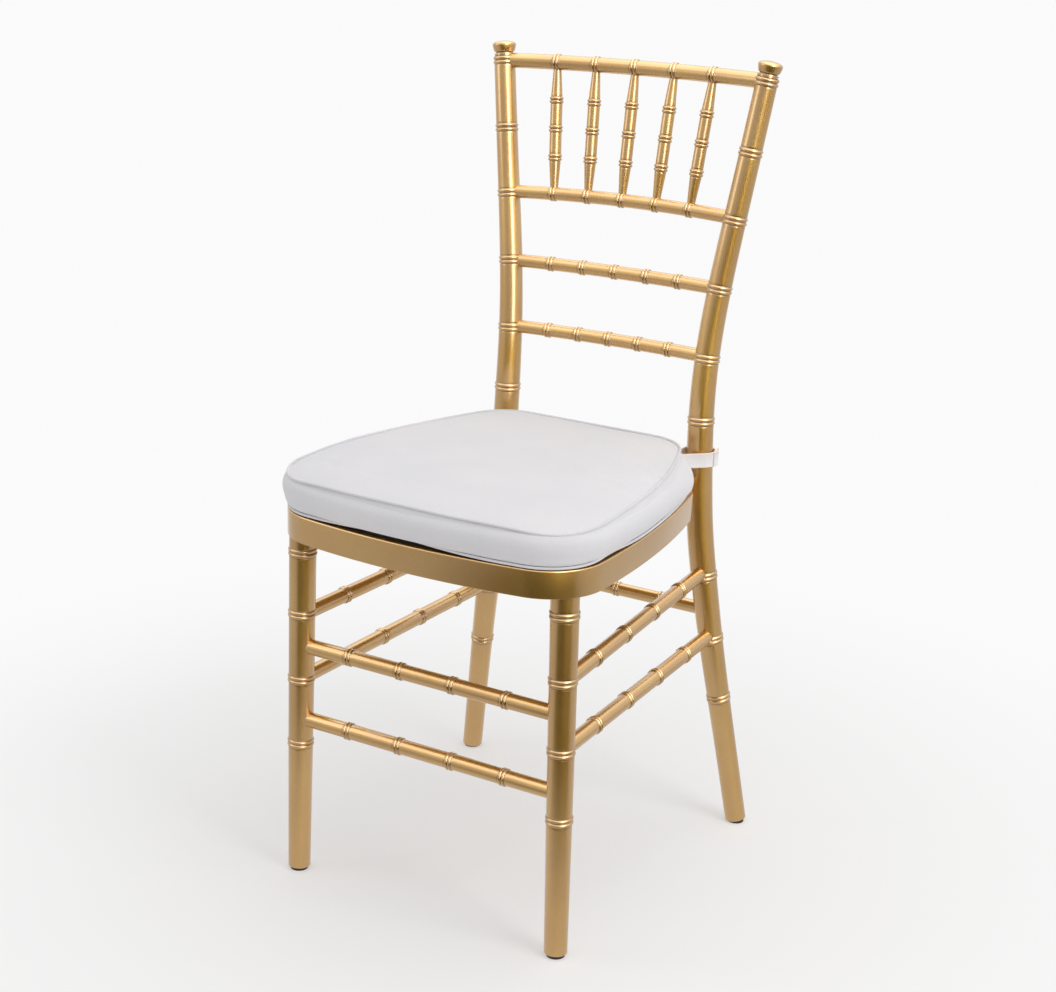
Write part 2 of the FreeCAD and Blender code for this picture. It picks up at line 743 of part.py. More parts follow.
# Rails and spindles of the back
rail_blank, rail_rings = {}, {}
for name in ("top_rail", "spindle_rail", "upper_cross", "lower_cross"):
    rail_blank[name], rail_rings[name] = bowed_rail(name)
spindles = [spindle(number, rail_rings["spindle_rail"][number - 1],
                    rail_rings["top_rail"][number - 1]) for number in range(1, RINGS_ON_RAIL + 1)]
for number, whole in enumerate(spindles, start=1):
    sub_part(f"spindle_{number}", whole)
spindle_ends = group("spindle_ends", spindles)
for name in ("top_rail", "spindle_rail"):
    sub_part(name, cut(name + "_bored", rail_blank[name], [spindle_ends]))
for name in ("upper_cross", "lower_cross"):
    sub_part(name + "_rail", rail_blank[name])

# Rear posts, bored for every rail, the screw and the glide tack
glide_rear = foot_glide("glide_rear", post_point("foot"))
glide_front = foot_glide("glide_front", leg_point(0))
post_heart, _, post_girth_there = post_section(size.rail_middle_height)
lean = math.radians(size.post_screw_angle)
drive = Vector(-math.cos(lean), -math.sin(lean), 0)
post_screw = screw("post_screw", "post_screw",
                   post_heart - drive * (post_girth_there - size.post_screw_sink), drive,
                   "post_screw_length")
post_bores = group("post_bores", list(rail_blank.values())
                   + [straight["rear_stretcher"], straight["side_stretcher_upper"],
                      straight["side_stretcher_lower"], post_screw, glide_rear])
post_right = cut("post_bored", rear_post_blank(), [post_bores])
sub_part("rear_post_right", post_right)
sub_part("rear_post_left", mirrored("post_left_copy", post_right))

# Front legs, bored for the stretchers and the glide tack
leg_bores = group("leg_bores", [straight["front_stretcher_upper"],
                                straight["front_stretcher_lower"],
                                straight["side_stretcher_upper"],
                                straight["side_stretcher_lower"], glide_front])
leg_right = cut("leg_bored", front_leg_blank(), [leg_bores])
sub_part("front_leg_right", leg_right)
sub_part("front_leg_left", mirrored("leg_left_copy", leg_right))
for name, glide in (("front", glide_front), ("rear", glide_rear)):
    sub_part(f"foot_glide_{name}_right", glide)
    sub_part(f"foot_glide_{name}_left", mirrored(f"glide_{name}_left_copy", glide))

# Seat frame: a ring of four bent rails with a ledge for the panel
rim = Plan(size.seat_side_bow_radius)
rim_blank = prism("rim_blank", plan_sketch("rim_outline", rim.heel(), "Sizes.seat_under_height"),
                  "Sizes.rim_height")
well = prism("seat_well", plan_sketch("well_outline", rim.square(size.rim_width),
                                      "Sizes.seat_under_height"), "Sizes.rim_height")
panel_inset = size.rim_width - size.panel_ledge
panel_blank = prism("panel_blank", plan_sketch("panel_outline", rim.square(panel_inset),
                                               "Sizes.panel_under_height"), "Sizes.panel_thickness")
doc.recompute()
rim_eased = doc.addObject("Part::Fillet", "rim_eased")
rim_eased.Base = rim_blank
rim_eased.Edges = [(number, size.rim_edge_round, size.rim_edge_round)
                   for number, edge in enumerate(rim_blank.Shape.Edges, start=1)
                   if edge.Curve.TypeId == "Part::GeomCircle"]
legs_pair = group("legs_pair", [made["front_leg_right"], made["front_leg_left"]])

# Dowels across the four joints of the frame
dowels = []
for end, depth, shift in (("front", size.front_joint_depth, 0.0),
                          ("rear", size.seat_side_depth, size.dowel_rear_shift)):
    for index, offset in enumerate((-size.dowel_offset, size.dowel_offset)):
        heart = rim.on_side(depth, size.rim_width / 2 + shift + offset)
        way = rim.side_way(depth, size.rim_width / 2)
        heart.z = size.rail_middle_height
        pin = cylinder(f"dowel_{end}_{index}", "Sizes.dowel_radius", "Sizes.dowel_length",
                       along(heart - way * (size.dowel_length / 2), way))
        dowels += [pin, mirrored(f"dowel_{end}_{index}_left", pin)]
dowel_set = sub_part("rim_dowels", group("dowel_set", dowels))

# Corner blocks fitted into the well, each with two screws into the rails
block_sketch = plan_sketch("block_outline", rim.square(size.rim_width), "Sizes.block_height_low")
block_fill = prism("block_fill", block_sketch, "Sizes.block_height")
block_screws, block_parts = [], {}
half = math.sqrt(0.5)
for end, corner, diagonal in (
        ("front", rim.on_corner(-math.pi / 4, size.rim_width), Vector(half, -half, 0)),
        ("rear", rim.on_side(size.seat_inner_depth, size.rim_width), Vector(half, half, 0))):
    across = Vector(half, half, 0) if end == "front" else Vector(half, -half, 0)
    face = corner - diagonal * size.block_depth
    face.z = size.block_height_low
    turn = Rotation(Z, math.degrees(math.atan2(diagonal.y, diagonal.x)))
    slab = box(f"block_{end}_slab", face - turn.multVec(Y) * (size.block_reach / 2),
               (size.block_reach, size.block_reach, size.block_height), turn)
    pair = []
    for index, offset in enumerate((-size.block_screw_cross, size.block_screw_side)):
        head = face + across * offset + Z * size.block_screw_lift
        pair.append(screw(f"block_screw_{end}_{index}", "screw", head, diagonal,
                          "block_screw_length"))
    block_parts[end] = cut(f"block_{end}_bored", common(f"block_{end}_blank", block_fill, slab),
                           [group(f"block_{end}_screws", pair)])
    block_screws += pair + [mirrored(f"{item.Name}_left", item) for item in pair]
    sub_part(f"corner_block_{end}_right", block_parts[end])
    sub_part(f"corner_block_{end}_left", mirrored(f"block_{end}_left_copy", block_parts[end]))
block_screw_set = sub_part("corner_block_screws", group("block_screw_set", block_screws))

# Panel screws, driven down into the ledge
ledge_inset = size.rim_width - size.panel_ledge / 2
panel_spots = [rim.on_front(size.panel_screw_front_spread, ledge_inset),
               rim.on_side(size.panel_screw_fore_depth, ledge_inset),
               rim.on_side(size.panel_screw_aft_depth, ledge_inset),
               Vector(size.panel_screw_rear_spread, size.front_leg_y + size.seat_inner_depth
                      + size.panel_ledge / 2, 0)]
panel_screws = []
for index, spot in enumerate(panel_spots):
    item = screw(f"panel_screw_{index}", "screw", Vector(spot.x, spot.y, size.seat_top_height),
                 Z * -1, "panel_screw_length")
    panel_screws += [item, mirrored(f"panel_screw_{index}_left", item)]
panel_screw_set = sub_part("seat_panel_screws", group("panel_screw_set", panel_screws))
sub_part("seat_panel", cut("panel_bored", panel_blank, [panel_screw_set]))
post_screw_set = sub_part("seat_post_screws", group(
    "post_screw_set", [post_screw, mirrored("post_screw_left", post_screw)]))

# The four rails are the frame parted at its joints, less all that is let into them
posts_pair = group("posts_pair", [made["rear_post_right"], made["rear_post_left"]])
frame = cut("frame_hollow", rim_eased, [well, panel_blank])
fittings = group("frame_fittings", [dowel_set, block_screw_set, panel_screw_set])
span = 2 * (size.seat_half_width + size.rim_width)
low = Vector(-span / 2, size.seat_front_y - size.rim_width, size.seat_under_height)
front_joint = size.front_leg_y + size.front_joint_depth
rear_joint = size.front_leg_y + size.seat_side_depth
front_zone = box("front_zone", low, (span, front_joint - low.y, size.rim_height))
side_zone = box("side_zone", Vector(0, front_joint, low.z),
                (span / 2, rear_joint - front_joint, size.rim_height))
rear_zone = box("rear_zone", Vector(low.x, rear_joint, low.z),
                (span, size.seat_rear_depth, size.rim_height))
front_rail = cut("front_rail_bored", common("front_rail_blank", frame, front_zone), [fittings])
sub_part("seat_front_rail", cut("front_rail_let", front_rail, [legs_pair]))
side_rail = cut("side_rail_bored", common("side_rail_blank", frame, side_zone), [fittings])
sub_part("seat_side_rail_right", side_rail)
sub_part("seat_side_rail_left", mirrored("side_rail_left_copy", side_rail))
rear_rail = cut("rear_rail_bored", common("rear_rail_blank", frame, rear_zone), [fittings])
rear_rail = cut("rear_rail_coped", rear_rail, [posts_pair])
sub_part("seat_rear_rail", cut("rear_rail_let", rear_rail, [post_screw_set]))

# Cushion: bulging band and a crowned top, with a loose cover round the foam
low_plan = Plan(size.seat_side_bow_radius)
top_plan = Plan(size.cushion_top_side_bow_radius)
waist_plan = Plan((size.seat_side_bow_radius + size.cushion_top_side_bow_radius) / 2)


def loft(name, sections):
    skin = doc.addObject("Part::Loft", name)
    skin.Sections = sections
    skin.Solid = True
    return skin


def cushion_body(name, inset):
    def section(part, plan, edge_inset, cell, drop, tilt=0.0):
        return plan_sketch(f"{name}_{part}", plan.round(inset + edge_inset),
                           f"Sizes.{cell} - {drop * inset}", tilt)

    seam = section("seam", top_plan, 0.0, "cushion_seam_height", 1, size.cushion_tilt)
    band = loft(name + "_band", [
        section("under", low_plan, 0.0, "cushion_under", -1),
        section("waist", waist_plan, -size.cushion_bulge, "cushion_waist_height", 0),
        seam])
    crown = loft(name + "_crown", [
        seam,
        section("shoulder", top_plan, size.crown_shoulder_inset, "crown_shoulder_height", 1,
                size.cushion_tilt),
        section("top", top_plan, size.crown_inset, "crown_height", 1, size.cushion_tilt)])
    return fuse(name + "_whole", [band, crown])


def piping(name, plan, height, tilt=0.0):
    spine = plan_sketch(name + "_spine", plan.round(-size.piping_stand_off), height, tilt)
    doc.recompute()
    first = spine.Shape.Edges[0]
    ring = doc.addObject("Part::Circle", name + "_section")
    bind(ring, Radius="Sizes.piping_radius")
    ring.Placement = along(first.valueAt(first.FirstParameter),
                           first.tangentAt(first.FirstParameter))
    cord = doc.addObject("Part::Sweep", name + "_cord")
    cord.Sections = [ring]
    cord.Spine = (spine, [f"Edge{index + 1}" for index in range(len(spine.Shape.Edges))])
    cord.Solid = True
    return cord


def arc_band(name, placement, inner, thickness, angle):
    rings = []
    for index, radius in enumerate((inner, inner + thickness)):
        ring = cylinder(f"{name}_{index}", f"{radius} mm", "Sizes.strap_width", placement)
        rings.append(ring)
    rings[1].Angle = angle
    return cut(name, rings[1], [rings[0]])


cover_whole = cushion_body("cover", 0.0)
foam = cushion_body("foam", size.cover_thickness)
cord_top = piping("piping_top", top_plan, "Sizes.cushion_seam_height", size.cushion_tilt)
cord_bottom = piping("piping_bottom", low_plan, "Sizes.piping_bottom_height")
cords = group("cords", [cord_top, cord_bottom])
sub_part("cushion_foam", foam)
sub_part("cushion_cover", cut("cover_corded", cut("cover_hollow", cover_whole, [foam]), [cords]))
sub_part("cushion_piping_top", cord_top)
sub_part("cushion_piping_bottom", cord_bottom)
board_sketch = plan_sketch("board_outline", low_plan.round(size.base_inset),
                           "Sizes.cushion_floor")
sub_part("cushion_base_board", prism("base_board", board_sketch, "Sizes.base_thickness"))

# Straps: each loops round a post and runs to the rear corner of the cushion
strap_heart, _, strap_girth = post_section(size.strap_bottom_height + size.strap_width / 2)
strap_heart.z = size.strap_bottom_height
cushion_corner = waist_plan.rear_corner()
toward = math.degrees(math.atan2(cushion_corner.y - strap_heart.y,
                                 cushion_corner.x - strap_heart.x))
inner = strap_girth + size.strap_slack
open_half = (360 - size.strap_angle) / 2
loop = arc_band("strap_loop", Placement(strap_heart, Rotation(Z, toward + open_half)), inner,
                size.strap_thickness, size.strap_angle)
tails = []
for index, side in enumerate((1, -1)):
    spoke = Rotation(Z, toward + side * open_half).multVec(X)
    turn = Rotation(Z, toward + side * (open_half - 90))
    corner = strap_heart + spoke * (inner if side > 0 else inner + size.strap_thickness)
    tails.append(box(f"strap_tail_{index}", corner,
                     (size.strap_tail_length, size.strap_thickness, size.strap_width), turn))
strap_right = cut("strap_trimmed", fuse("strap_whole", [loop] + tails), [cover_whole])
pad = arc_band("strap_pad", Placement(strap_heart, Rotation(Z, size.strap_pad_turn)),
               inner + size.strap_thickness, size.strap_pad_thickness, size.strap_pad_arc)
for name, piece in (("strap", strap_right), ("strap_pad", pad)):
    sub_part(name + "_right", piece)
    sub_part(name + "_left", mirrored(name + "_left_copy", piece))

# Every feature and every sub-part is checked before the parts are written
doc.recompute()
faults = [item.Name for item in doc.Objects if {"Invalid", "Error"} & set(item.State)]
faults += [name for name, feature in made.items()
           if feature.Shape.isNull() or not feature.Shape.isValid() or not feature.Shape.Solids]
if faults:
    raise RuntimeError("faulty: " + ", ".join(faults))

os.makedirs("parts", exist_ok=True)
for name, feature in made.items():
    feature.Shape.exportStep(f"parts/{name}.step")
print(len(made), "parts written")
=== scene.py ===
import bpy, bmesh, math
import numpy as np
from mathutils import Matrix, Vector


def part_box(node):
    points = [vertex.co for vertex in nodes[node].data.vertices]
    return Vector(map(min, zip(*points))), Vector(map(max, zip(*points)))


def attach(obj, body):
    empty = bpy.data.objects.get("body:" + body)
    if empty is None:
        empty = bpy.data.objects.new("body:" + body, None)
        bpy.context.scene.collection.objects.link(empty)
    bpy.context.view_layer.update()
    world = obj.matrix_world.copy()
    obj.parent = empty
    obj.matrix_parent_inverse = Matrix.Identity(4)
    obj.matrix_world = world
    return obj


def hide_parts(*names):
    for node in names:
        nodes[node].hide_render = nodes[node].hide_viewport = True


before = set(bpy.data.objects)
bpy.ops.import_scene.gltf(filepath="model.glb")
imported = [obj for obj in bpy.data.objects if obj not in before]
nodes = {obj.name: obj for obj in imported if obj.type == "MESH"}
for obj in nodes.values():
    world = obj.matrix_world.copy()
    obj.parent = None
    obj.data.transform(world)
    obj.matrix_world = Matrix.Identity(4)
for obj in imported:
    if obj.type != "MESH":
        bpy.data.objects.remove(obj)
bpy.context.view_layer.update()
legY = (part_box("foot_glide_front_right")[0][1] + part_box("foot_glide_front_right")[1][1]) / 2
mm = 0.001
print("frame loaded,", len(nodes), "nodes")


# Small helpers

def linear(hexColour):  # sRGB hex to the linear colour that shaders take
    parts = [int(hexColour[i:i + 2], 16) / 255 for i in (1, 3, 5)]
    return tuple(c / 12.92 if c <= 0.04045 else ((c + 0.055) / 1.055) ** 2.4 for c in parts) + (1,)


def addNode(tree, kind, settings=None, **inputs):  # one node with its settings and links
    node = tree.nodes.new(kind)
    for name, value in (settings or {}).items():
        setattr(node, name, value)
    for name, value in inputs.items():
        key = int(name[1:]) if name[0] == "i" and name[1:].isdigit() else name.replace("_", " ")
        socket = node.inputs[key]
        if isinstance(value, bpy.types.NodeSocket):
            tree.links.new(value, socket)
        else:
            socket.default_value = value
    return node


def newMaterial(name):
    material = bpy.data.materials.new(name)
    material.use_nodes = True
    tree = material.node_tree
    tree.nodes.clear()
    shader = tree.nodes.new("ShaderNodeBsdfPrincipled")
    output = tree.nodes.new("ShaderNodeOutputMaterial")
    output.name = "Material Output"
    tree.links.new(shader.outputs[0], output.inputs[0])
    return material, tree, shader


def rampNode(tree, factor, stops):
    ramp = addNode(tree, "ShaderNodeValToRGB", i0=factor)
    while len(ramp.color_ramp.elements) < len(stops):
        ramp.color_ramp.elements.new(0.5)
    for element, (place, colour) in zip(ramp.color_ramp.elements, stops):
        element.position = place
        element.color = colour if isinstance(colour, tuple) else (colour, colour, colour, 1)
    return ramp


def meshObject(name, vertices, edges=(), faces=(), smooth=True):
    mesh = bpy.data.meshes.new(name)
    mesh.from_pydata([tuple(v) for v in vertices], list(edges), list(faces))
    if smooth and faces:
        mesh.polygons.foreach_set("use_smooth", [True] * len(mesh.polygons))
    item = bpy.data.objects.new(name, mesh)
    bpy.context.scene.collection.objects.link(item)
    return item


def outwards(item):  # turns every face outwards
    work = bmesh.new()
    work.from_mesh(item.data)
    bmesh.ops.recalc_face_normals(work, faces=work.faces)
    work.to_mesh(item.data)
    work.free()


def bakeModifiers(item):  # swaps the live mesh for the evaluated one
    bpy.context.view_layer.update()
    result = bpy.data.meshes.new_from_object(
        item.evaluated_get(bpy.context.evaluated_depsgraph_get()))
    materials = list(item.data.materials)
    item.modifiers.clear()
    item.data = result
    if not len(result.materials):
        for material in materials:
            result.materials.append(material)


# Materials

goldPaint = {"body": "#C08E34", "light": "#CEA046", "groove": "#5E3C12", "flakeMm": 0.8,
             "brushMm": 6.0, "roughness": 0.38, "metallic": 0.92, "coatRoughness": 0.14,
             "coatIor": 2.2}


def makeGoldPaint():
    # Bronze-gold metallic lacquer sprayed on turned wood: satin base full of fine flake under
    # a clear coat, which lays pale reflections over it; grooves get a browner wash and painted
    # shade
    material, tree, shader = newMaterial("sprayedGoldLacquer")
    place = addNode(tree, "ShaderNodeTexCoord").outputs["Object"]
    cloud = addNode(tree, "ShaderNodeTexNoise", Vector=place, Scale=11.0, Detail=4.0)
    flake = addNode(tree, "ShaderNodeTexNoise", Vector=place,
                    Scale=1 / (goldPaint["flakeMm"] * mm), Detail=2.0)  # as coarse as it shows
    body = rampNode(tree, cloud.outputs["Fac"], [(0.3, linear(goldPaint["body"])),
                                                 (0.75, linear(goldPaint["light"]))])
    speck = rampNode(tree, flake.outputs["Fac"], [(0.34, 0.93), (0.5, 1.0), (0.68, 1.09)])
    sparkle = addNode(tree, "ShaderNodeMix", {"data_type": "RGBA", "blend_type": "MULTIPLY"},
                      i0=1.0, i6=body.outputs[0], i7=speck.outputs[0])
    # a per-point attribute darkens the grooves towards brown: a wash left in them and painted
    # shade
    groove = addNode(tree, "ShaderNodeAttribute", {"attribute_name": "groove"})
    toned = addNode(tree, "ShaderNodeMix", {"data_type": "RGBA"}, i0=groove.outputs["Fac"],
                    i6=sparkle.outputs[2], i7=linear(goldPaint["groove"]))
    tree.links.new(toned.outputs[2], shader.inputs["Base Color"])
    shader.inputs["Metallic"].default_value = goldPaint["metallic"]
    rough = addNode(tree, "ShaderNodeMapRange", i0=flake.outputs["Fac"], i1=0.3, i2=0.7,
                    i3=goldPaint["roughness"] - 0.03, i4=goldPaint["roughness"] + 0.05)
    tree.links.new(rough.outputs[0], shader.inputs["Roughness"])
    shader.inputs["Coat Weight"].default_value = 1.0
    shader.inputs["Coat Roughness"].default_value = goldPaint["coatRoughness"]
    shader.inputs["Coat IOR"].default_value = goldPaint["coatIor"]
    wave = addNode(tree, "ShaderNodeTexNoise", Vector=place,
                   Scale=1 / (goldPaint["brushMm"] * mm), Detail=2.0)
    height = addNode(tree, "ShaderNodeMath", {"operation": "MULTIPLY_ADD"},
                     i0=flake.outputs["Fac"], i1=0.25, i2=wave.outputs["Fac"])
    bump = addNode(tree, "ShaderNodeBump", Strength=0.03, Distance=0.0004,
                   Height=height.outputs[0])
    tree.links.new(bump.outputs[0], shader.inputs["Normal"])
    return material


cushionCloth = {"top": "#E1DFE1", "shade": "#DCDBDE", "threadMm": 0.9, "roughness": 0.86}


def makeCloth(name, colour, shade, threadMm, strength, sheen):
    # Plain woven polyester: matt, with a faint sheen and a fine weave, drawn coarser than
    # real so that it shows
    material, tree, shader = newMaterial(name)
    place = addNode(tree, "ShaderNodeTexCoord").outputs["Object"]
    cloud = addNode(tree, "ShaderNodeTexNoise", Vector=place, Scale=14.0, Detail=3.0)
    tint = rampNode(tree, cloud.outputs["Fac"], [(0.3, linear(shade)), (0.7, linear(colour))])
    grain = addNode(tree, "ShaderNodeTexNoise", Vector=place, Scale=1 / (threadMm * mm),
                    Detail=2.0)
    mottle = rampNode(tree, grain.outputs["Fac"], [(0.3, 0.965), (0.7, 1.03)])
    mixed = addNode(tree, "ShaderNodeMix", {"data_type": "RGBA", "blend_type": "MULTIPLY"},
                    i0=1.0, i6=tint.outputs[0], i7=mottle.outputs[0])
    tree.links.new(mixed.outputs[2], shader.inputs["Base Color"])
    shader.inputs["Roughness"].default_value = cushionCloth["roughness"]
    shader.inputs["Sheen Weight"].default_value = sheen
    bump = addNode(tree, "ShaderNodeBump", Strength=strength, Distance=0.0003,
                   Height=grain.outputs["Fac"])
    tree.links.new(bump.outputs[0], shader.inputs["Normal"])
    return material


def makePlain(name, colour, roughness, metallic=0.0, grainMm=1.0, spread=0.12, streak=1.0):
    # A solid finish whose colour and gloss vary with a grain of a real size
    material, tree, shader = newMaterial(name)
    place = addNode(tree, "ShaderNodeTexCoord").outputs["Object"]
    turned = addNode(tree, "ShaderNodeMapping", Vector=place, Scale=(1.0, streak, 1.0))
    grain = addNode(tree, "ShaderNodeTexNoise", Vector=turned.outputs[0],
                    Scale=1 / (grainMm * mm), Detail=4.0)
    base = linear(colour)
    low = tuple(c * (1 - spread) for c in base[:3]) + (1,)
    high = tuple(min(1, c * (1 + spread)) for c in base[:3]) + (1,)
    tint = rampNode(tree, grain.outputs["Fac"], [(0.3, low), (0.7, high)])
    tree.links.new(tint.outputs[0], shader.inputs["Base Color"])
    shader.inputs["Roughness"].default_value = roughness
    shader.inputs["Metallic"].default_value = metallic
    bump = addNode(tree, "ShaderNodeBump", Strength=0.15, Distance=0.0002,
                   Height=grain.outputs["Fac"])
    tree.links.new(bump.outputs[0], shader.inputs["Normal"])
    return material


lacquer = makeGoldPaint()
cloth = makeCloth("wovenPolyester", cushionCloth["top"], cushionCloth["shade"],
                  cushionCloth["threadMm"], 0.12, 0.15)
cordCloth = makeCloth("biasPiping", "#DEDDE0", "#D3D2D7", 1.4, 0.35, 0.15)
strapCloth = makeCloth("strapWebbing", "#F0ECEC", "#E8E4E5", 0.8, 0.2, 0.1)
selvedge = makeCloth("strapSelvedge", "#F6E9DC", "#EFDFCF", 0.8, 0.2, 0.1)
# the cushion's base board is drawn near black
blackCushionBase = makePlain("blackNonSlipCloth", "#0B0A0A", 0.9, grainMm=0.8)
bareWood = makePlain("sandedPlywood", "#B08A5C", 0.62, grainMm=3.0, spread=0.16, streak=0.08)
darkPlastic = makePlain("mouldedGlidePlastic", "#1C1814", 0.5)
zincSteel = makePlain("zincPlatedSteel", "#A9A9A6", 0.35, metallic=1.0, grainMm=0.6)
print("materials made")


# Turned members

def turnedTree():
    # Sweeps a circle along the path; the path's points carry their radius
    tree = bpy.data.node_groups.new("turnedMember", "GeometryNodeTree")
    face = tree.interface
    face.new_socket("Path", in_out="INPUT", socket_type="NodeSocketGeometry")
    face.new_socket("Sides", in_out="INPUT", socket_type="NodeSocketInt")
    face.new_socket("Finish", in_out="INPUT", socket_type="NodeSocketMaterial")
    face.new_socket("Member", in_out="OUTPUT", socket_type="NodeSocketGeometry")
    entry, leave = tree.nodes.new("NodeGroupInput"), tree.nodes.new("NodeGroupOutput")
    girth = addNode(tree, "GeometryNodeInputNamedAttribute", {"data_type": "FLOAT"}, Name="girth")
    path = addNode(tree, "GeometryNodeMeshToCurve", Mesh=entry.outputs["Path"])
    sized = addNode(tree, "GeometryNodeSetCurveRadius", Curve=path.outputs[0],
                    Radius=girth.outputs[0])
    circle = addNode(tree, "GeometryNodeCurvePrimitiveCircle", Resolution=entry.outputs["Sides"],
                     Radius=1.0)
    swept = addNode(tree, "GeometryNodeCurveToMesh", Curve=sized.outputs[0],
                    Profile_Curve=circle.outputs[0], Fill_Caps=True)
    if "Scale" in swept.inputs:
        tree.links.new(girth.outputs[0], swept.inputs["Scale"])
    merged = addNode(tree, "GeometryNodeMergeByDistance", Geometry=swept.outputs[0],
                     Distance=0.00001)
    smooth = addNode(tree, "GeometryNodeSetShadeSmooth", Geometry=merged.outputs[0])
    real = addNode(tree, "GeometryNodeRealizeInstances", Geometry=smooth.outputs[0])
    painted = addNode(tree, "GeometryNodeSetMaterial", Geometry=real.outputs[0],
                      Material=entry.outputs["Finish"])
    tree.links.new(painted.outputs[0], leave.inputs[0])
    return tree


memberTree = turnedTree()
plainStep = 9.0  # mm between two points of a path where nothing is turned on it
bead = {"post": {"radius": 2.3, "pitch": 4.8, "proud": 1.1, "dip": 0.25},
        "rail": {"radius": 1.95, "pitch": 4.1, "proud": 1.25, "dip": 0.2}}


def beadProfile(kind):
    # Offsets along the axis, height over the rod and groove darkening for one double bead; the
    # darkening is a browner wash with painted shade, most between the beads
    b = bead[kind]
    foot = math.sqrt(b["radius"] ** 2 - (b["radius"] - b["proud"]) ** 2)
    rows = []
    for side in (-1, 1):
        centre = side * b["pitch"] / 2
        for x in [centre + foot * math.sin(a * math.pi / 10) for a in range(-5, 6)]:
            rise = math.sqrt(max(0.0, b["radius"] ** 2 - (x - centre) ** 2))
            rows.append((x, rise - b["radius"] + b["proud"],
                         0.55 * max(0.0, abs(x - centre) / foot - 0.55) / 0.45))
    edge = b["pitch"] / 2 + foot
    rows += [(0.0, -b["dip"], 0.8), (-edge - 0.35, -b["dip"], 0.6), (edge + 0.35, -b["dip"], 0.6),
             (-edge - 1.1, 0.0, 0.15), (edge + 1.1, 0.0, 0.15),
             (-edge - 2.6, 0.0, 0.0), (edge + 2.6, 0.0, 0.0)]
    return sorted(rows)


def sweptPath(name, points, closed, sides, finish, attributes):
    # A round rod or cord along the points, which carry the attributes of the sweep
    edges = [(i, i + 1) for i in range(len(points) - 1)]
    if closed:
        edges.append((len(points) - 1, 0))
    path = meshObject(name, points, edges)
    for attribute, values in attributes.items():
        path.data.attributes.new(attribute, "FLOAT", "POINT").data.foreach_set("value", values)
    modifier = path.modifiers.new("turn", "NODES")
    modifier.node_group = memberTree
    sockets = {item.name: item.identifier for item in memberTree.interface.items_tree}
    modifier[sockets["Sides"]] = sides
    modifier[sockets["Finish"]] = finish
    bakeModifiers(path)
    outwards(path)
    return path


def turnedMember(name, node, body, centre, reach, girthAt, rings, kind, sides, tip=()):
    # centre(s) gives a point and girthAt(s) a radius, s in mm along the axis; rings are the
    # places of the double beads, and tip adds (s, radius, darkening) rows at the far end
    start, end = reach
    rows = {}
    for s in np.arange(start, end, plainStep):
        rows[round(float(s), 3)] = (girthAt(s), 0.0)
    rows[round(end, 3)] = (girthAt(end), 0.0)
    profile = beadProfile(kind)
    span = profile[-1][0]
    for ring in rings:
        for s in [s for s in rows if abs(s - ring) <= span + 1.0]:
            del rows[s]
        for shift, rise, tone in profile:
            rows[round(ring + shift, 3)] = (girthAt(ring + shift) + rise, tone)
    for s, radius, tone in tip:
        rows[round(s, 3)] = (radius, tone)
    places = sorted(s for s in rows if s >= start - 0.001)
    # each row's second value darkens the lacquer there: a browner wash with painted shade
    path = sweptPath(name, [Vector(centre(s)) * mm for s in places], False, sides, lacquer,
                     {"girth": [rows[s][0] * mm for s in places],
                      "groove": [rows[s][1] for s in places]})
    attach(path, body)
    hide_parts(node)
    return path


def cubic(xs, ys):  # natural cubic spline through the stations
    xs, ys = np.array(xs, float), np.array(ys, float)
    n, h = len(xs), np.diff(xs)
    a = np.eye(n)
    b = np.zeros((n,) + ys.shape[1:])
    for i in range(1, n - 1):
        a[i, i - 1:i + 2] = h[i - 1], 2 * (h[i - 1] + h[i]), h[i]
        b[i] = 6 * ((ys[i + 1] - ys[i]) / h[i] - (ys[i] - ys[i - 1]) / h[i - 1])
    m = np.linalg.solve(a, b)

    def at(x):
        i = int(min(max(np.searchsorted(xs, x) - 1, 0), n - 2))
        left, right, width = xs[i + 1] - x, x - xs[i], h[i]
        return (m[i] * left ** 3 + m[i + 1] * right ** 3) / (6 * width) \
            + (ys[i] / width - m[i] * width / 6) * left \
            + (ys[i + 1] / width - m[i + 1] * width / 6) * right
    return at


rearPost = {
    # height, distance from the middle, depth behind the front legs, radius
    "stations": [(2.5, 192.6, 400.0, 12.6), (120, 175.3, 384.7, 13.1), (240, 157.2, 370.4, 14.5),
                 (320, 145.4, 364.7, 15.4), (380, 137.9, 362.2, 15.5), (440, 133.6, 361.5, 15.4),
                 (507, 131.3, 361.6, 14.9), (580, 132.2, 365.7, 14.2), (660, 138.9, 373.0, 13.7),
                 (760, 152.1, 382.6, 13.0), (895.4, 170.4, 395.8, 12.5)],
    "rings": [166.2, 242.0, 320.4, 507.1, 579.8, 659.7, 738.0, 813.5, 890.8],
    "sides": 44}
z0 = legY / mm
postLine = cubic([s[0] for s in rearPost["stations"]],
                 [(s[1], s[2] + z0, s[0], s[3]) for s in rearPost["stations"]])


def postPoint(height, side=1):
    x, y, z, _ = postLine(height)
    return Vector((x * side, y, z))


def postRadius(height):
    return float(postLine(height)[3])


def finialRows(ring):
    # Turned neck, flared cup and domed button above the last double bead; the neck is painted
    # darker, a wash with painted shade
    rows = [(4.9, 9.95, 0.7), (5.6, 9.9, 0.4), (8.2, 9.9, 0.5), (8.9, 10.1, 0.7),
            (9.0, 10.7, 0.2), (9.5, 11.4, 0.0), (10.3, 12.1, 0.0), (11.4, 12.6, 0.0),
            (14.0, 13.3, 0.0), (16.4, 13.85, 0.0), (17.5, 14.0, 0.0), (18.3, 13.9, 0.0),
            (19.1, 13.5, 0.0), (19.9, 12.7, 0.0), (20.6, 11.5, 0.0), (21.3, 9.6, 0.0),
            (21.9, 7.0, 0.0), (22.3, 4.2, 0.0), (22.45, 2.0, 0.0), (22.5, 0.002, 0.0)]
    return [(ring + s, r, tone) for s, r, tone in rows]
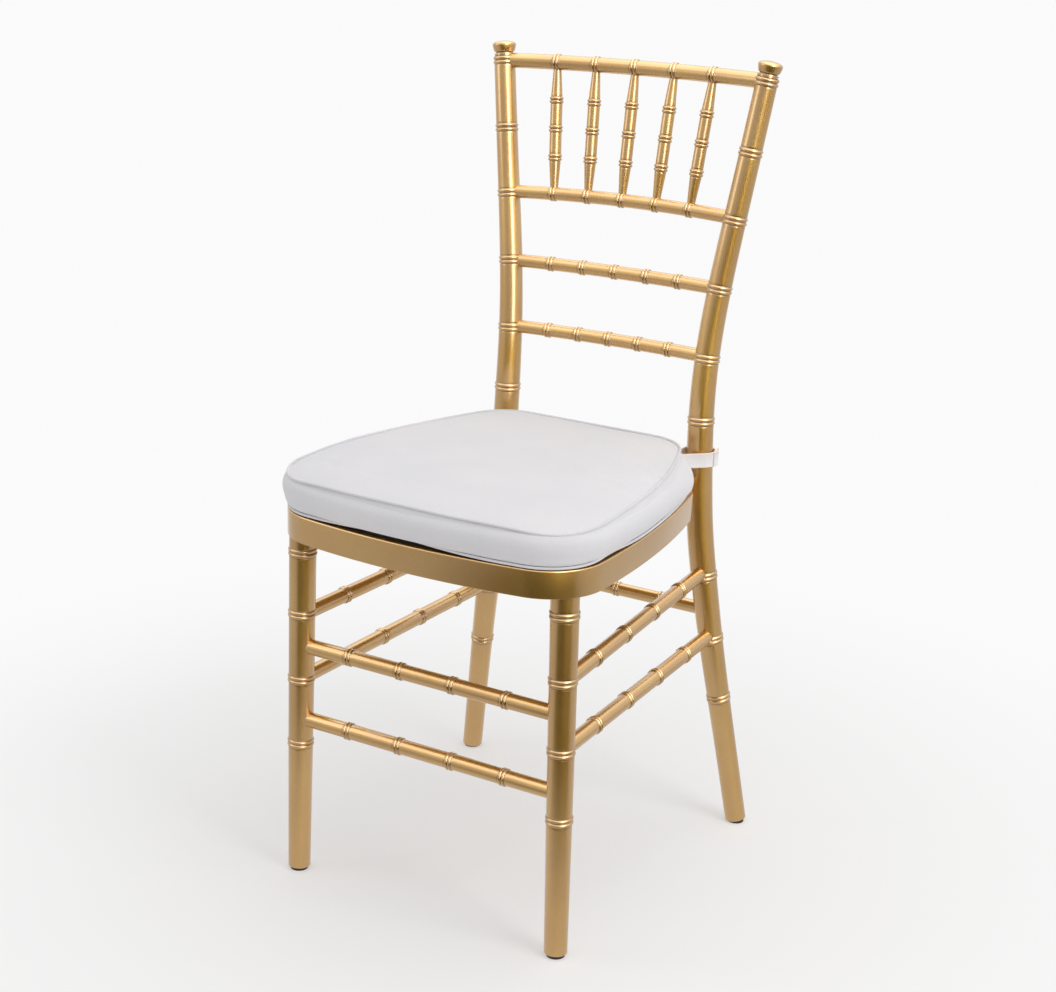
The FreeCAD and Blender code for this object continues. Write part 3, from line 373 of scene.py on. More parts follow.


# the sole and its eased edge are painted darker: painted shade under the foot
def footRows(foot, radius):  # flat sole with an eased edge
    return [(foot, 0.002, 0.5), (foot + 0.02, radius - 1.7, 0.5), (foot + 0.15, radius - 1.5, 0.3),
            (foot + 1.5, radius - 0.15, 0.0), (foot + 1.8, radius, 0.0), (foot + 4.0, radius, 0.0)]


for side, word in ((1, "right"), (-1, "left")):
    foot, last = 2.5, rearPost["rings"][-1]
    turnedMember("rearPost" + word.capitalize(), "rear_post_" + word, "chair",
                 lambda s, side=side: postPoint(s, side), (foot + 1.8, last + 4.6), postRadius,
                 rearPost["rings"], "post", rearPost["sides"],
                 footRows(foot, postRadius(foot)) + finialRows(last))

frontLeg = {"footSpread": 171.4, "topSpread": 165.4, "seatUnder": 408.5, "footRadius": 12.7,
            "shinRadius": 13.9, "shin": 160.0, "topRadius": 15.0, "top": 380.0,
            "rings": [159.0, 236.6, 314.3, 386.2], "sides": 44}


def legPoint(height, side=1):
    share = height / frontLeg["seatUnder"]
    spread = frontLeg["footSpread"] + (frontLeg["topSpread"] - frontLeg["footSpread"]) * share
    return Vector((spread * side, z0, height))


def legRadius(height):
    return float(np.interp(height, [2.5, frontLeg["shin"], frontLeg["top"]],
                           [frontLeg["footRadius"], frontLeg["shinRadius"],
                            frontLeg["topRadius"]]))


for side, word in ((1, "right"), (-1, "left")):
    turnedMember("frontLeg" + word.capitalize(), "front_leg_" + word, "chair",
                 lambda s, side=side: legPoint(s, side), (4.3, frontLeg["seatUnder"] + 6.0),
                 legRadius, frontLeg["rings"], "post", frontLeg["sides"],
                 footRows(2.5, legRadius(2.5)))
print("posts and legs turned")

rails = {
    # height, backward bow, upward rise, radius and spacing of the double beads
    "top_rail": (891.2, 11.3, 2.1, 8.7, 50.7), "spindle_rail": (739.7, 7.3, 3.8, 7.8, 44.9),
    "upper_cross_rail": (659.5, 6.3, 1.0, 7.8, 42.3),
    "lower_cross_rail": (581.1, 5.2, 0.8, 7.8, 40.3)}
railSides, railSink = 34, 4.0
railRings = {}
for name, (height, bow, rise, radius, spacing) in rails.items():
    end = postPoint(height)
    swing = Vector((0, bow, rise))
    bend = (end.x ** 2 + swing.length ** 2) / (2 * swing.length)
    back = swing.normalized()
    middle = Vector((0, end.y, height)) + swing - back * bend

    def onArc(s, bend=bend, back=back, middle=middle):
        return middle + (Vector((math.sin(s / bend), 0, 0)) + back * math.cos(s / bend)) * bend

    half = bend * math.asin(end.x / bend) - postRadius(height) + railSink
    places = [spacing * k for k in (-2, -1, 0, 1, 2)]
    railRings[name] = [onArc(s) for s in places]
    words = name.split("_")
    turnedMember(words[0] + "".join(w.capitalize() for w in words[1:]), name, "chair", onArc,
                 (-half, half), lambda s, radius=radius: radius, places, "rail", railSides)

spindle = {"radius": 7.1, "topRadius": 4.6, "footRadius": 4.5, "sink": 3.6, "sides": 30}
for number in range(5):
    foot, head = railRings["spindle_rail"][number], railRings["top_rail"][number]
    way = (head - foot).normalized()
    low = rails["spindle_rail"][3] + bead["rail"]["proud"]
    high = (head - foot).length - rails["top_rail"][3] - bead["rail"]["proud"]
    quarter = (high - low) / 4
    knots = [low - spindle["sink"], low + quarter, low + 3 * quarter, high + spindle["sink"]]
    sizes = [spindle["footRadius"], spindle["radius"], spindle["radius"], spindle["topRadius"]]
    turnedMember(f"spindle{number + 1}", f"spindle_{number + 1}", "chair",
                 lambda s, foot=foot, way=way: foot + way * s,
                 (low - spindle["sink"], high + spindle["sink"]),
                 lambda s, knots=knots: float(np.interp(s, knots, sizes)),
                 [low + quarter * k for k in (1, 2, 3)], "rail", spindle["sides"])


def stretcher(name, node, start, end, startRadius, endRadius, radius):
    way, length = (end - start).normalized(), (end - start).length
    turnedMember(name, node, "chair", lambda s: start + way * s,
                 (startRadius - railSink, length - endRadius + railSink), lambda s: radius,
                 [length * k / 5 for k in (1, 2, 3, 4)], "rail", railSides)


stretchers = {"front": (("Upper", 275.9), ("Lower", 188.2)),
              "side": (("Upper", 311.6, 324.1), ("Lower", 235.6, 246.0)), "rear": 277.0,
              "frontRadius": 8.75, "sideRadius": 8.7, "rearRadius": 7.9}
for level, height in stretchers["front"]:
    stretcher("frontStretcher" + level, "front_stretcher_" + level.lower(), legPoint(height, -1),
              legPoint(height), legRadius(height), legRadius(height), stretchers["frontRadius"])
for level, front, rear in stretchers["side"]:
    for side, word in ((1, "right"), (-1, "left")):
        stretcher("sideStretcher" + level + word.capitalize(),
                  f"side_stretcher_{level.lower()}_{word}", legPoint(front, side),
                  postPoint(rear, side), legRadius(front), postRadius(rear),
                  stretchers["sideRadius"])
height = stretchers["rear"]
stretcher("rearStretcher", "rear_stretcher", postPoint(height, -1), postPoint(height),
          postRadius(height), postRadius(height), stretchers["rearRadius"])
print("rails, spindles and stretchers turned")


# Outlines of seat and cushion seen from above

plan = {"halfWidth": 191.4, "overhang": 47.3, "front": 850.0, "corner": 66.0,
        "sideDepth": 296.0, "heel": (124.0, 356.0), "rearDepth": 371.0, "innerDepth": 325.0,
        "cushionRear": 338.5, "cushionCorner": 57.0}


def planParts(sideBow):
    turn = math.asin((plan["halfWidth"] - plan["corner"]) / (plan["front"] - plan["corner"]))
    frontMid = np.array([0.0, z0 - plan["overhang"] + plan["front"]])
    cornerMid = frontMid + np.array([math.sin(turn), -math.cos(turn)]) \
        * (plan["front"] - plan["corner"])
    sideMid = np.array([plan["halfWidth"] - sideBow, cornerMid[1]])
    return turn, frontMid, cornerMid, sideMid


def onCircle(middle, radius, angles):
    return [middle + radius * np.array([math.cos(a), math.sin(a)]) for a in angles]


def cushionOutline(sideBow, inset, counts=(26, 22, 44, 14, 18)):
    # Right half from the front's middle to the rear's middle, then mirrored; the same counts
    # at each inset, so that loops can be joined point by point
    turn, frontMid, cornerMid, sideMid = planParts(sideBow)
    rc = plan["cushionCorner"]
    rearY = z0 + plan["cushionRear"] - rc
    rearX = sideMid[0] + math.sqrt((sideBow - rc) ** 2 - (rearY - sideMid[1]) ** 2)
    rearMid = np.array([rearX, rearY])
    lean = math.atan2(rearMid[1] - sideMid[1], rearMid[0] - sideMid[0])
    half = onCircle(frontMid, plan["front"] - inset,
                    np.linspace(-math.pi / 2, turn - math.pi / 2, counts[0], endpoint=False))
    half += onCircle(cornerMid, plan["corner"] - inset,
                     np.linspace(turn - math.pi / 2, 0, counts[1], endpoint=False))
    half += onCircle(sideMid, sideBow - inset, np.linspace(0, lean, counts[2], endpoint=False))
    half += onCircle(rearMid, rc - inset,
                     np.linspace(lean, math.pi / 2, counts[3], endpoint=False))
    rearLine = rearY + rc - inset
    half += [np.array([rearX * (1 - t), rearLine]) for t in np.linspace(0, 1, counts[4])]
    left = [np.array([-p[0], p[1]]) for p in half[-2:0:-1]]
    return np.array(half + left)


# Seat rim

rim = {"bow": 1100.0, "under": 408.5, "top": 438.5, "width": 32.0, "ease": 1.6,
       "easeUnder": 0.9, "sharp": math.radians(24)}


def rimOutline(inset):
    turn, frontMid, cornerMid, sideMid = planParts(rim["bow"])
    if inset:
        endY = z0 + plan["innerDepth"]
    else:
        endY = z0 + plan["sideDepth"]
    endAngle = math.asin((endY - sideMid[1]) / (rim["bow"] - inset))
    half = onCircle(frontMid, plan["front"] - inset,
                    np.linspace(-math.pi / 2, turn - math.pi / 2, 24, endpoint=False))
    half += onCircle(cornerMid, plan["corner"] - inset,
                     np.linspace(turn - math.pi / 2, 0, 30, endpoint=False))
    half += onCircle(sideMid, rim["bow"] - inset, np.linspace(0, endAngle, 40))
    end = half[-1]
    if inset:
        half += [end * np.array([1 - t, 1]) for t in np.linspace(0, 1, 16)[1:]]
    else:
        heel = np.array([plan["heel"][0], z0 + plan["heel"][1]])
        rear = np.array([plan["heel"][0], z0 + plan["rearDepth"]])
        half += [end + (heel - end) * t for t in np.linspace(0, 1, 7)[1:]]
        half += [heel + (rear - heel) * t for t in np.linspace(0, 1, 3)[1:]]
        half += [rear * np.array([1 - t, 1]) for t in np.linspace(0, 1, 8)[1:]]
    return half


def buildRim():
    def mirrored(half):
        return np.array(half + [p * np.array([-1, 1]) for p in half[-2:0:-1]])

    def eased(radius, height, way):  # quarter round from the wall to the flat
        return [(outer - normal * radius * (1 - math.cos(a)), height + way * radius * math.sin(a))
                for a in np.linspace(0, math.pi / 2, 6)]

    outer, inner = mirrored(rimOutline(0.0)), mirrored(rimOutline(rim["width"]))
    count = len(outer)
    tangent = np.roll(outer, -1, 0) - np.roll(outer, 1, 0)
    normal = np.stack([tangent[:, 1], -tangent[:, 0]], 1)
    normal /= np.linalg.norm(normal, axis=1)[:, None]
    rows = [(inner, rim["under"])]
    rows += eased(rim["easeUnder"], rim["under"] + rim["easeUnder"], -1)[::-1]
    rows += eased(rim["ease"], rim["top"] - rim["ease"], 1)
    rows.append((inner, rim["top"]))
    points = [(x * mm, y * mm, z * mm) for loop, z in rows for x, y in loop]
    faces = []
    for r in range(len(rows)):
        low, high = r * count, ((r + 1) % len(rows)) * count
        faces += [(low + i, low + (i + 1) % count, high + (i + 1) % count, high + i)
                  for i in range(count)]
    item = meshObject("seatRim", points, faces=faces)
    outwards(item)
    work = bmesh.new()
    work.from_mesh(item.data)
    for edge in work.edges:
        if len(edge.link_faces) == 2 and edge.calc_face_angle(0) > rim["sharp"]:
            edge.smooth = False
    work.to_mesh(item.data)
    work.free()
    item.data.materials.append(lacquer)
    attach(item, "chair")
    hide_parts("seat_front_rail", "seat_side_rail_left", "seat_side_rail_right",
                "seat_rear_rail")


buildRim()
print("seat rim built")


# Cushion

cushion = {"floor": 442.9, "bottomSeam": 441.3, "seam": 478.4, "tilt": 0.0157, "tiltFrom": 43.0,
           "bulge": 5.0, "lowBow": 1000.0, "topBow": 700.0, "crown": 6.0,
           "counts": (18, 14, 36, 10, 10), "frontHalf": 21, "middle": 150.0,
           "soleInsets": (44, 30, 18, 9), "bandRows": 10,
           "topInsets": (3, 7, 12, 19, 27, 36, 46), "crownReach": 16.0,
           # the band swells less at the rear: share lost, where it starts and over how much
           "rearLoss": 0.75, "rearFrom": 240.0, "rearFade": 90.0,
           "pressure": 4.0, "stretch": -0.004, "cap": 5.0, "frames": 20, "evenings": 14}
cord = {"topRadius": 1.55, "bottomRadius": 1.5, "sides": 12}
seams = {
    # place, reach and height in mm by which the top seam leaves its plane
    "frontRise": (-15.0, 75.0, 1.6), "sideRise": (115.0, 60.0, 1.6),
    "cornerDroop": (178.0, -28.0, 44.0, 3.6),
    # the same for the bottom seam, which rides up off the frame, and its tuck at the rear
    "frontLift": (-22.0, 78.0, 4.4), "rightLift": (50.0, 42.0, 2.2),
    "leftLift": (70.0, 60.0, 0.8), "sideFrom": 120.0, "tuck": 1.6, "tuckByLift": 0.9,
    "rearTuck": (150.0, 325.0, 45.0, 3.0)}


def hump(value, centre, width, height=1.0):
    return height * np.exp(-((value - centre) / width) ** 2)


def cornerHump(x, depth, cornerX, cornerDepth, reach, height):  # alike at left and right
    away = (np.abs(x) - cornerX) ** 2 + (depth - cornerDepth) ** 2
    return height * np.exp(-away / reach ** 2)


def atFront(loop):  # 1 along the front edge and 0 elsewhere
    return np.clip((z0 + 20.0 - loop[:, 1]) / 40.0, 0, 1)


def topSeamHeight(loop):
    # The seam stands higher in the middle of the front and droops at the two front corners
    x, depth = loop[:, 0], loop[:, 1] - z0
    plane = cushion["seam"] + cushion["tilt"] * (depth + cushion["tiltFrom"])
    atSide = np.clip((np.abs(x) - seams["sideFrom"]) / 40, 0, 1)
    return plane + hump(x, *seams["frontRise"]) * atFront(loop) \
        - cornerHump(x, depth, *seams["cornerDroop"]) + hump(depth, *seams["sideRise"]) * atSide


def bottomSeamLift(loop):
    # The cover rides up off the frame in the front's middle and behind the right front corner
    x, depth = loop[:, 0], loop[:, 1] - z0
    return hump(x, *seams["frontLift"]) * atFront(loop) \
        + hump(depth, *seams["rightLift"]) * (x > seams["sideFrom"]) \
        + hump(depth, *seams["leftLift"]) * (x < -seams["sideFrom"])


def cushionLoop(sideBow, inset, height):
    loop = cushionOutline(sideBow, inset, cushion["counts"])
    return np.column_stack([loop, np.broadcast_to(height, len(loop))])


def seamLoops():
    low = cushionOutline(cushion["lowBow"], 0, cushion["counts"])
    lift = bottomSeamLift(low)
    tuck = seams["tuck"] + seams["tuckByLift"] * lift \
        + cornerHump(low[:, 0], low[:, 1] - z0, *seams["rearTuck"])
    step = 10.0
    inner = cushionOutline(cushion["lowBow"], step, cushion["counts"])
    low = low + (inner - low) * (tuck / step)[:, None]
    bottom = np.column_stack([low, cushion["bottomSeam"] + lift])
    high = cushionOutline(cushion["topBow"], 0.8, cushion["counts"])
    return bottom, np.column_stack([high, topSeamHeight(high)])


def topPatch(loop, start, fresh):
    # Fills the middle of the top panel with a lattice of quads hung between four sides of the
    # loop; start numbers the loop's points and fresh the new ones
    count = len(loop)
    half = cushion["frontHalf"]
    wide, deep = 2 * half, count // 2 - 2 * half
    grid = np.zeros((deep + 1, wide + 1), int)
    for i in range(wide + 1):
        grid[0, i] = start + (i - half) % count
        grid[deep, i] = start + (half + deep + wide - i) % count
    for j in range(deep + 1):
        grid[j, wide] = start + (half + j) % count
        grid[j, 0] = start + (-half - j) % count

    def spot(number):
        return loop[number - start]

    inner = []
    for j in range(1, deep):
        v = j / deep
        for i in range(1, wide):
            u = i / wide
            grid[j, i] = fresh + len(inner)
            sides = (1 - v) * spot(grid[0, i]) + v * spot(grid[deep, i]) \
                + (1 - u) * spot(grid[j, 0]) + u * spot(grid[j, wide])
            corners = (1 - v) * ((1 - u) * spot(grid[0, 0]) + u * spot(grid[0, wide])) \
                + v * ((1 - u) * spot(grid[deep, 0]) + u * spot(grid[deep, wide]))
            inner.append(sides - corners)
    faces = [(int(grid[j, i]), int(grid[j, i + 1]), int(grid[j + 1, i + 1]), int(grid[j + 1, i]))
             for j in range(deep) for i in range(wide)]
    return inner, faces


def buildCushionForm():
    # A closed loaf: flat sole, bulging band between the two seams and a crowned top
    bottom, top = seamLoops()
    rows = [cushionLoop(cushion["lowBow"], inset, cushion["floor"])
            for inset in cushion["soleInsets"]] + [bottom]
    pinned = [1.0] * len(rows)
    middle = np.array([0.0, z0 + cushion["middle"]])
    for k in range(1, cushion["bandRows"]):
        t = k / cushion["bandRows"]
        row = bottom + (top - bottom) * t
        out = row[:, :2] - middle
        out /= np.linalg.norm(out, axis=1)[:, None]
        swell = cushion["bulge"] * math.sin(math.pi * t) ** 0.7
        rear = np.clip((row[:, 1] - z0 - cushion["rearFrom"]) / cushion["rearFade"], 0, 1)
        row[:, :2] += out * (swell * (1 - cushion["rearLoss"] * rear))[:, None]
        rows.append(row)
        pinned.append(0.0)
    rows.append(top)
    pinned.append(1.0)
    for inset in cushion["topInsets"]:
        row = cushionLoop(cushion["topBow"], inset, 0)
        rise = cushion["crown"] * (1 - math.exp(-inset / cushion["crownReach"]))
        row[:, 2] = top[:, 2] - 0.8 + rise
        rows.append(row)
        pinned.append(0.0)
    count = len(rows[0])
    points = [tuple(p * mm) for row in rows for p in row]
    panel, lattice = topPatch(rows[-1], (len(rows) - 1) * count, len(points))
    points += [tuple(p * mm) for p in panel]
    faces = [(r * count + i, r * count + (i + 1) % count, (r + 1) * count + (i + 1) % count,
              (r + 1) * count + i) for r in range(len(rows) - 1) for i in range(count)]
    item = meshObject("cushionCover", points, faces=faces + lattice + [tuple(range(count))])
    outwards(item)
    return item, np.concatenate([np.repeat(pinned, count), np.zeros(len(panel))])


def inflate(item, pinned):
    # Air pressure fills the cover between its pinned seams; the move of each point is capped
    group = item.vertex_groups.new(name="seams")
    group.add([int(i) for i in np.nonzero(pinned > 0.5)[0]], 1.0, "REPLACE")
    start = np.empty(len(item.data.vertices) * 3)
    item.data.vertices.foreach_get("co", start)
    cloth3d = item.modifiers.new("filled", "CLOTH")
    settings = cloth3d.settings
    settings.quality = 4
    settings.mass = 0.25
    settings.tension_stiffness = settings.compression_stiffness = 20
    settings.bending_stiffness = 1.5
    settings.use_pressure = True
    settings.uniform_pressure_force = cushion["pressure"]
    settings.shrink_min = cushion["stretch"]
    settings.vertex_group_mass = "seams"
    settings.effector_weights.gravity = 0
    cloth3d.collision_settings.use_self_collision = False
    scene = bpy.context.scene
    cloth3d.point_cache.frame_start, cloth3d.point_cache.frame_end = 1, cushion["frames"]
    for number in range(1, cushion["frames"] + 1):
        scene.frame_set(number)
    result = bpy.data.meshes.new_from_object(
        item.evaluated_get(bpy.context.evaluated_depsgraph_get()))
    end = np.empty(len(start))
    result.vertices.foreach_get("co", end)
    item.modifiers.clear()
    scene.frame_set(1)
    move = (end - start).reshape(-1, 3)
    edges = np.array([edge.vertices for edge in item.data.edges])
    shared = np.bincount(edges.ravel(), minlength=len(move))[:, None]
    for turn in range(cushion["evenings"]):  # evens out folds finer than foam would allow
        near = np.zeros_like(move)
        np.add.at(near, edges[:, 0], move[edges[:, 1]])
        np.add.at(near, edges[:, 1], move[edges[:, 0]])
        move = (0.4 * move + 0.6 * near / shared) * (pinned < 0.5)[:, None]
    reach = np.linalg.norm(move, axis=1)
    limit = cushion["cap"] * mm
    scale = limit * (1 - np.exp(-reach / limit)) / np.maximum(reach, 1e-9)
    item.data.vertices.foreach_set("co", (start.reshape(-1, 3) + move * scale[:, None]).ravel())
    item.data.update()
    print("cushion filled, largest move %.1f mm" % (reach.max() / mm))


def subdivide(item):
    finer = item.modifiers.new("finer", "SUBSURF")
    finer.levels = finer.render_levels = 1
    bakeModifiers(item)
    item.data.polygons.foreach_set("use_smooth", [True] * len(item.data.polygons))


creases = (
    # start, end, depth, half width in mm; the fabric gathers across the right side seam
    ((180, 124), (134, 115), 1.6, 5.0), ((177, 148), (118, 134), 2.6, 5.6),
    ((173, 174), (110, 164), 3.0, 5.6), ((168, 198), (108, 200), 2.6, 5.2),
    ((158, 222), (116, 224), 1.6, 5.0), ((-152, 40), (-130, 74), 0.8, 7.0),
    ((60, -25), (25, 5), 0.5, 8.0))


creaseShape = {"bow": 3.0, "ridge": 0.6, "ridgeShift": 1.9, "panelFrom": 478.0, "panelOver": 5.0}


def pressCreases(item):
    # Shallow valleys in the top panel, each with a low ridge along one side
    count = len(item.data.vertices)
    spots = np.empty(count * 3)
    item.data.vertices.foreach_get("co", spots)
    spots = spots.reshape(-1, 3)
    flat = spots[:, :2] / mm - np.array([0, z0])
    shape = creaseShape
    top = np.clip((spots[:, 2] / mm - shape["panelFrom"]) / shape["panelOver"], 0, 1)
    for start, end, deep, wide in creases:
        start, end = np.array(start, float), np.array(end, float)
        way = (end - start) / np.linalg.norm(end - start)
        along = (flat - start) @ way
        across = (flat - start) @ np.array([-way[1], way[0]])
        span = np.linalg.norm(end - start)
        bent = across - shape["bow"] * np.sin(math.pi * np.clip(along / span, 0, 1))
        fade = np.clip(along / 10 + 0.6, 0, 1) * np.clip((span - along) / (0.7 * span), 0, 1)
        fold = hump(bent, shape["ridgeShift"] * wide, wide, shape["ridge"]) - hump(bent, 0, wide)
        spots[:, 2] += deep * mm * fold * fade * top
    item.data.vertices.foreach_set("co", spots.ravel())
    item.data.update()


def softRipple(item):
    # Slow unevenness of foam and cover, under half a millimetre
    for vertex in item.data.vertices:
        x, y, z = (c / mm for c in vertex.co)
        wave = math.sin(x / 31 + 1.2 * math.sin(y / 47)) * math.sin(y / 37 + 0.7) \
            + 0.5 * math.sin(x / 13 - y / 19 + z / 9)
        vertex.co += Vector((x / 180, (y - z0 - 150) / 180, 0.4)) * (0.22 * wave * mm)


def buildCushion():
    item, pinned = buildCushionForm()
    inflate(item, pinned)
    subdivide(item)
    softRipple(item)
    pressCreases(item)
    item.data.materials.clear()
    item.data.materials.append(cloth)
    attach(item, "cushion")
    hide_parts("cushion_cover")


def buildPiping():
    # A thin cord in bias-cut fabric, sewn into each seam and half sunk in it
    bottom, top = seamLoops()
    for name, node, loop, radius, out, up in (
            ("pipingTop", "cushion_piping_top", top, cord["topRadius"], 0.5, 0.7),
            ("pipingBottom", "cushion_piping_bottom", bottom, cord["bottomRadius"], 0.4, -0.6)):
        away = loop[:, :2] - np.array([0.0, z0 + cushion["middle"]])
        away /= np.linalg.norm(away, axis=1)[:, None]
        loop = loop.copy()
        loop[:, :2] += away * out
        loop[:, 2] += up
        item = sweptPath(name, [Vector(p) * mm for p in loop], True, cord["sides"], cordCloth,
                         {"girth": [radius * mm] * len(loop)})
        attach(item, "cushion")
        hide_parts(node)


buildCushion()
buildPiping()
print("cushion built")


# Straps that hold the cushion's rear corners to the posts

strap = {"bottom": 455.2, "width": 17.4, "thick": 1.6, "slack": 1.9, "angle": 222.0,
         "tail": 34.0, "edge": 1.5, "endArc": (-8.0, 44.0), "endLift": 2.2}


def band(name, line, node):
    # Flat woven band on edge along a line seen from above, with a thicker woven edge
    line = np.array(line)
    way = np.gradient(line, axis=0)
    way /= np.linalg.norm(way, axis=1)[:, None]
    out = np.column_stack([way[:, 1], -way[:, 0]])
    half, width, edge = strap["thick"] / 2, strap["width"], strap["edge"]
    side = [(0.3 * half, 0.0), (1.25 * half, 0.3 * edge), (1.25 * half, 0.8 * edge), (half, edge)]
    side += [(t, width - h) for t, h in side[::-1]]
    section = side + [(-t, h) for t, h in side[::-1]]
    count = len(section)
    points = [(*(spot + way * t), strap["bottom"] + h) for spot, way in zip(line, out)
              for t, h in section]
    faces = [(r * count + i, r * count + (i + 1) % count, (r + 1) * count + (i + 1) % count,
              (r + 1) * count + i) for r in range(len(line) - 1) for i in range(count)]
    faces += [tuple(range(count)), tuple(range((len(line) - 1) * count, len(line) * count))]
    item = meshObject(name, [Vector(p) * mm for p in points], faces=faces)
    outwards(item)
    item.data.materials.append(strapCloth)
    item.data.materials.append(selvedge)
    low, high = strap["bottom"] + edge, strap["bottom"] + width - edge
    for face in item.data.polygons:
        face.material_index = int(not low < face.center.z / mm < high)
    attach(item, "cushion")
    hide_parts(node)


def spoke(degrees):
    return np.array([math.cos(math.radians(degrees)), math.sin(math.radians(degrees))])


def buildStraps():
    for side, word in ((1, "right"), (-1, "left")):
        height = strap["bottom"] + strap["width"] / 2
        heart = np.array(postPoint(height))[:2]
        radius = postRadius(height) + strap["slack"] + strap["thick"] / 2
        corner = cushionOutline(cushion["lowBow"], 0)
        corner = corner[np.argmin(np.linalg.norm(corner - heart, axis=1))]
        toward = math.degrees(math.atan2(*(corner - heart)[::-1]))
        gap = (360 - strap["angle"]) / 2
        loop = [heart + radius * spoke(a)
                for a in np.linspace(toward + gap, toward + 360 - gap, 56)]
        first, last = spoke(toward + gap - 90), spoke(toward - gap + 90)
        tails = np.linspace(0, strap["tail"], 9)[1:]
        line = [loop[0] + first * t for t in tails[::-1]] + loop + [loop[-1] + last * t
                                                                    for t in tails]
        # the closed end of the strap lies over its outer side and stands a little off it
        turns = np.linspace(*strap["endArc"], 24)
        lift = np.linspace(0, 1, 24) ** 2 * strap["endLift"] + 0.2 + strap["thick"]
        cover = [heart + (radius + up) * spoke(a) for a, up in zip(turns, lift)]
        flip = np.array([side, 1])
        band("strap" + word.capitalize(), [p * flip for p in line], "strap_" + word)
        band("strapEnd" + word.capitalize(), [p * flip for p in cover], "strap_pad_" + word)


buildStraps()
print("straps built")

# Finishes of the nodes that stay

for name, node in nodes.items():
    if name.startswith("foot_glide"):
        finish = darkPlastic
    elif name.endswith("screws"):
        finish = zincSteel
    elif name.startswith("corner_block") or name in ("seat_panel", "rim_dowels"):
        finish = bareWood
    elif name == "cushion_base_board":
        finish = blackCushionBase
    elif name == "cushion_foam":
        finish = cloth
    else:
        continue
    node.data.materials.clear()
    node.data.materials.append(finish)

# Floor, light and camera

studio = {"floor": 0.86, "backdrop": 0.96, "sky": 0.6, "sweep": 1.1,
          # what gloss finds on the paper and above it, by direction seen from the chair
          "paper": [(0.0, 1.0), (0.1, 0.88), (0.2, 0.66), (0.6, 0.62), (0.76, 0.56), (0.83, 0.38),
                    (0.88, 0.1), (1.0, 0.04)],
          "paperDark": (0.54, -0.84, 0.0),
          "air": [(0.0, 0.9), (0.5, 0.94), (0.8, 0.84), (0.95, 0.68), (1.0, 0.64)],
          "airDark": (-0.09, -1.0, 0.0),
          "boxWay": (0.82, -0.57, 0.0), "boxGain": 4.2, "overhead": 1.2}


def towards(tree, direction, way):
    # 0 straight away from a direction, 1 straight along it
    dot = addNode(tree, "ShaderNodeVectorMath", {"operation": "DOT_PRODUCT"}, i0=direction,
                  i1=Vector(way).normalized())
    return addNode(tree, "ShaderNodeMapRange", i0=dot.outputs["Value"], i1=-1.0, i2=1.0, i3=0.0,
                   i4=1.0).outputs[0]


def stepped(tree, value, low, high, gain):
    return addNode(tree, "ShaderNodeMapRange", {"interpolation_type": "SMOOTHSTEP"}, i0=value,
                   i1=low, i2=high, i3=0.0, i4=gain).outputs[0]


def added(tree, first, second):
    return addNode(tree, "ShaderNodeMath", {"operation": "ADD"}, i0=first, i1=second).outputs[0]


def buildFloor():
    reach, rings, sides = 14.0, [0, 0.5, 1, 2, 4, 8, 14], 48
    points = [(r * math.cos(2 * math.pi * k / sides), r * math.sin(2 * math.pi * k / sides), 0)
              for r in rings[1:] for k in range(sides)] + [(0, 0, 0)]
    faces = [(r * sides + k, (r + 1) * sides + k, (r + 1) * sides + (k + 1) % sides,
              r * sides + (k + 1) % sides) for r in range(len(rings) - 2) for k in range(sides)]
    faces += [(len(points) - 1, k, (k + 1) % sides) for k in range(sides)]
    floor = meshObject("studioFloor", points, faces=faces, smooth=False)
    material, tree, shader = newMaterial("paperSweep")
    shader.inputs["Base Color"].default_value = (studio["floor"],) * 3 + (1,)
    shader.inputs["Roughness"].default_value = 0.9
    shader.inputs["Specular IOR Level"].default_value = 0.0
    place = addNode(tree, "ShaderNodeTexCoord").outputs["Object"]
    away = addNode(tree, "ShaderNodeVectorMath", {"operation": "LENGTH"}, i0=place)
    fade = addNode(tree, "ShaderNodeMapRange", {"interpolation_type": "SMOOTHSTEP"},
                   i0=away.outputs["Value"], i1=0.2, i2=studio["sweep"], i3=0.42, i4=1.0)
    glow = addNode(tree, "ShaderNodeEmission", Color=(1, 1, 1, 1), Strength=studio["backdrop"])
    seen = addNode(tree, "ShaderNodeMixShader", i0=fade.outputs[0], i1=shader.outputs[0],
                   i2=glow.outputs[0])
    # the lit paper ends a little way in front of the chair, and gloss finds the dark room there
    way = addNode(tree, "ShaderNodeVectorMath", {"operation": "NORMALIZE"}, i0=place)
    light = rampNode(tree, towards(tree, way.outputs[0], studio["paperDark"]),
                     studio["paper"]).outputs[0]
    near = stepped(tree, away.outputs["Value"], 0.25, 0.8, 1.0)
    level = addNode(tree, "ShaderNodeMix", {"data_type": "FLOAT"}, i0=near, i2=0.75, i3=light)
    gloss = addNode(tree, "ShaderNodeEmission", Color=(1, 0.98, 0.95, 1),
                    Strength=level.outputs[0])
    ray = addNode(tree, "ShaderNodeLightPath")
    first = addNode(tree, "ShaderNodeMixShader", i0=ray.outputs["Is Camera Ray"],
                    i1=shader.outputs[0], i2=seen.outputs[0])
    second = addNode(tree, "ShaderNodeMixShader", i0=ray.outputs["Is Glossy Ray"],
                     i1=first.outputs[0], i2=gloss.outputs[0])
    tree.links.new(second.outputs[0], tree.nodes["Material Output"].inputs[0])
    floor.data.materials.append(material)


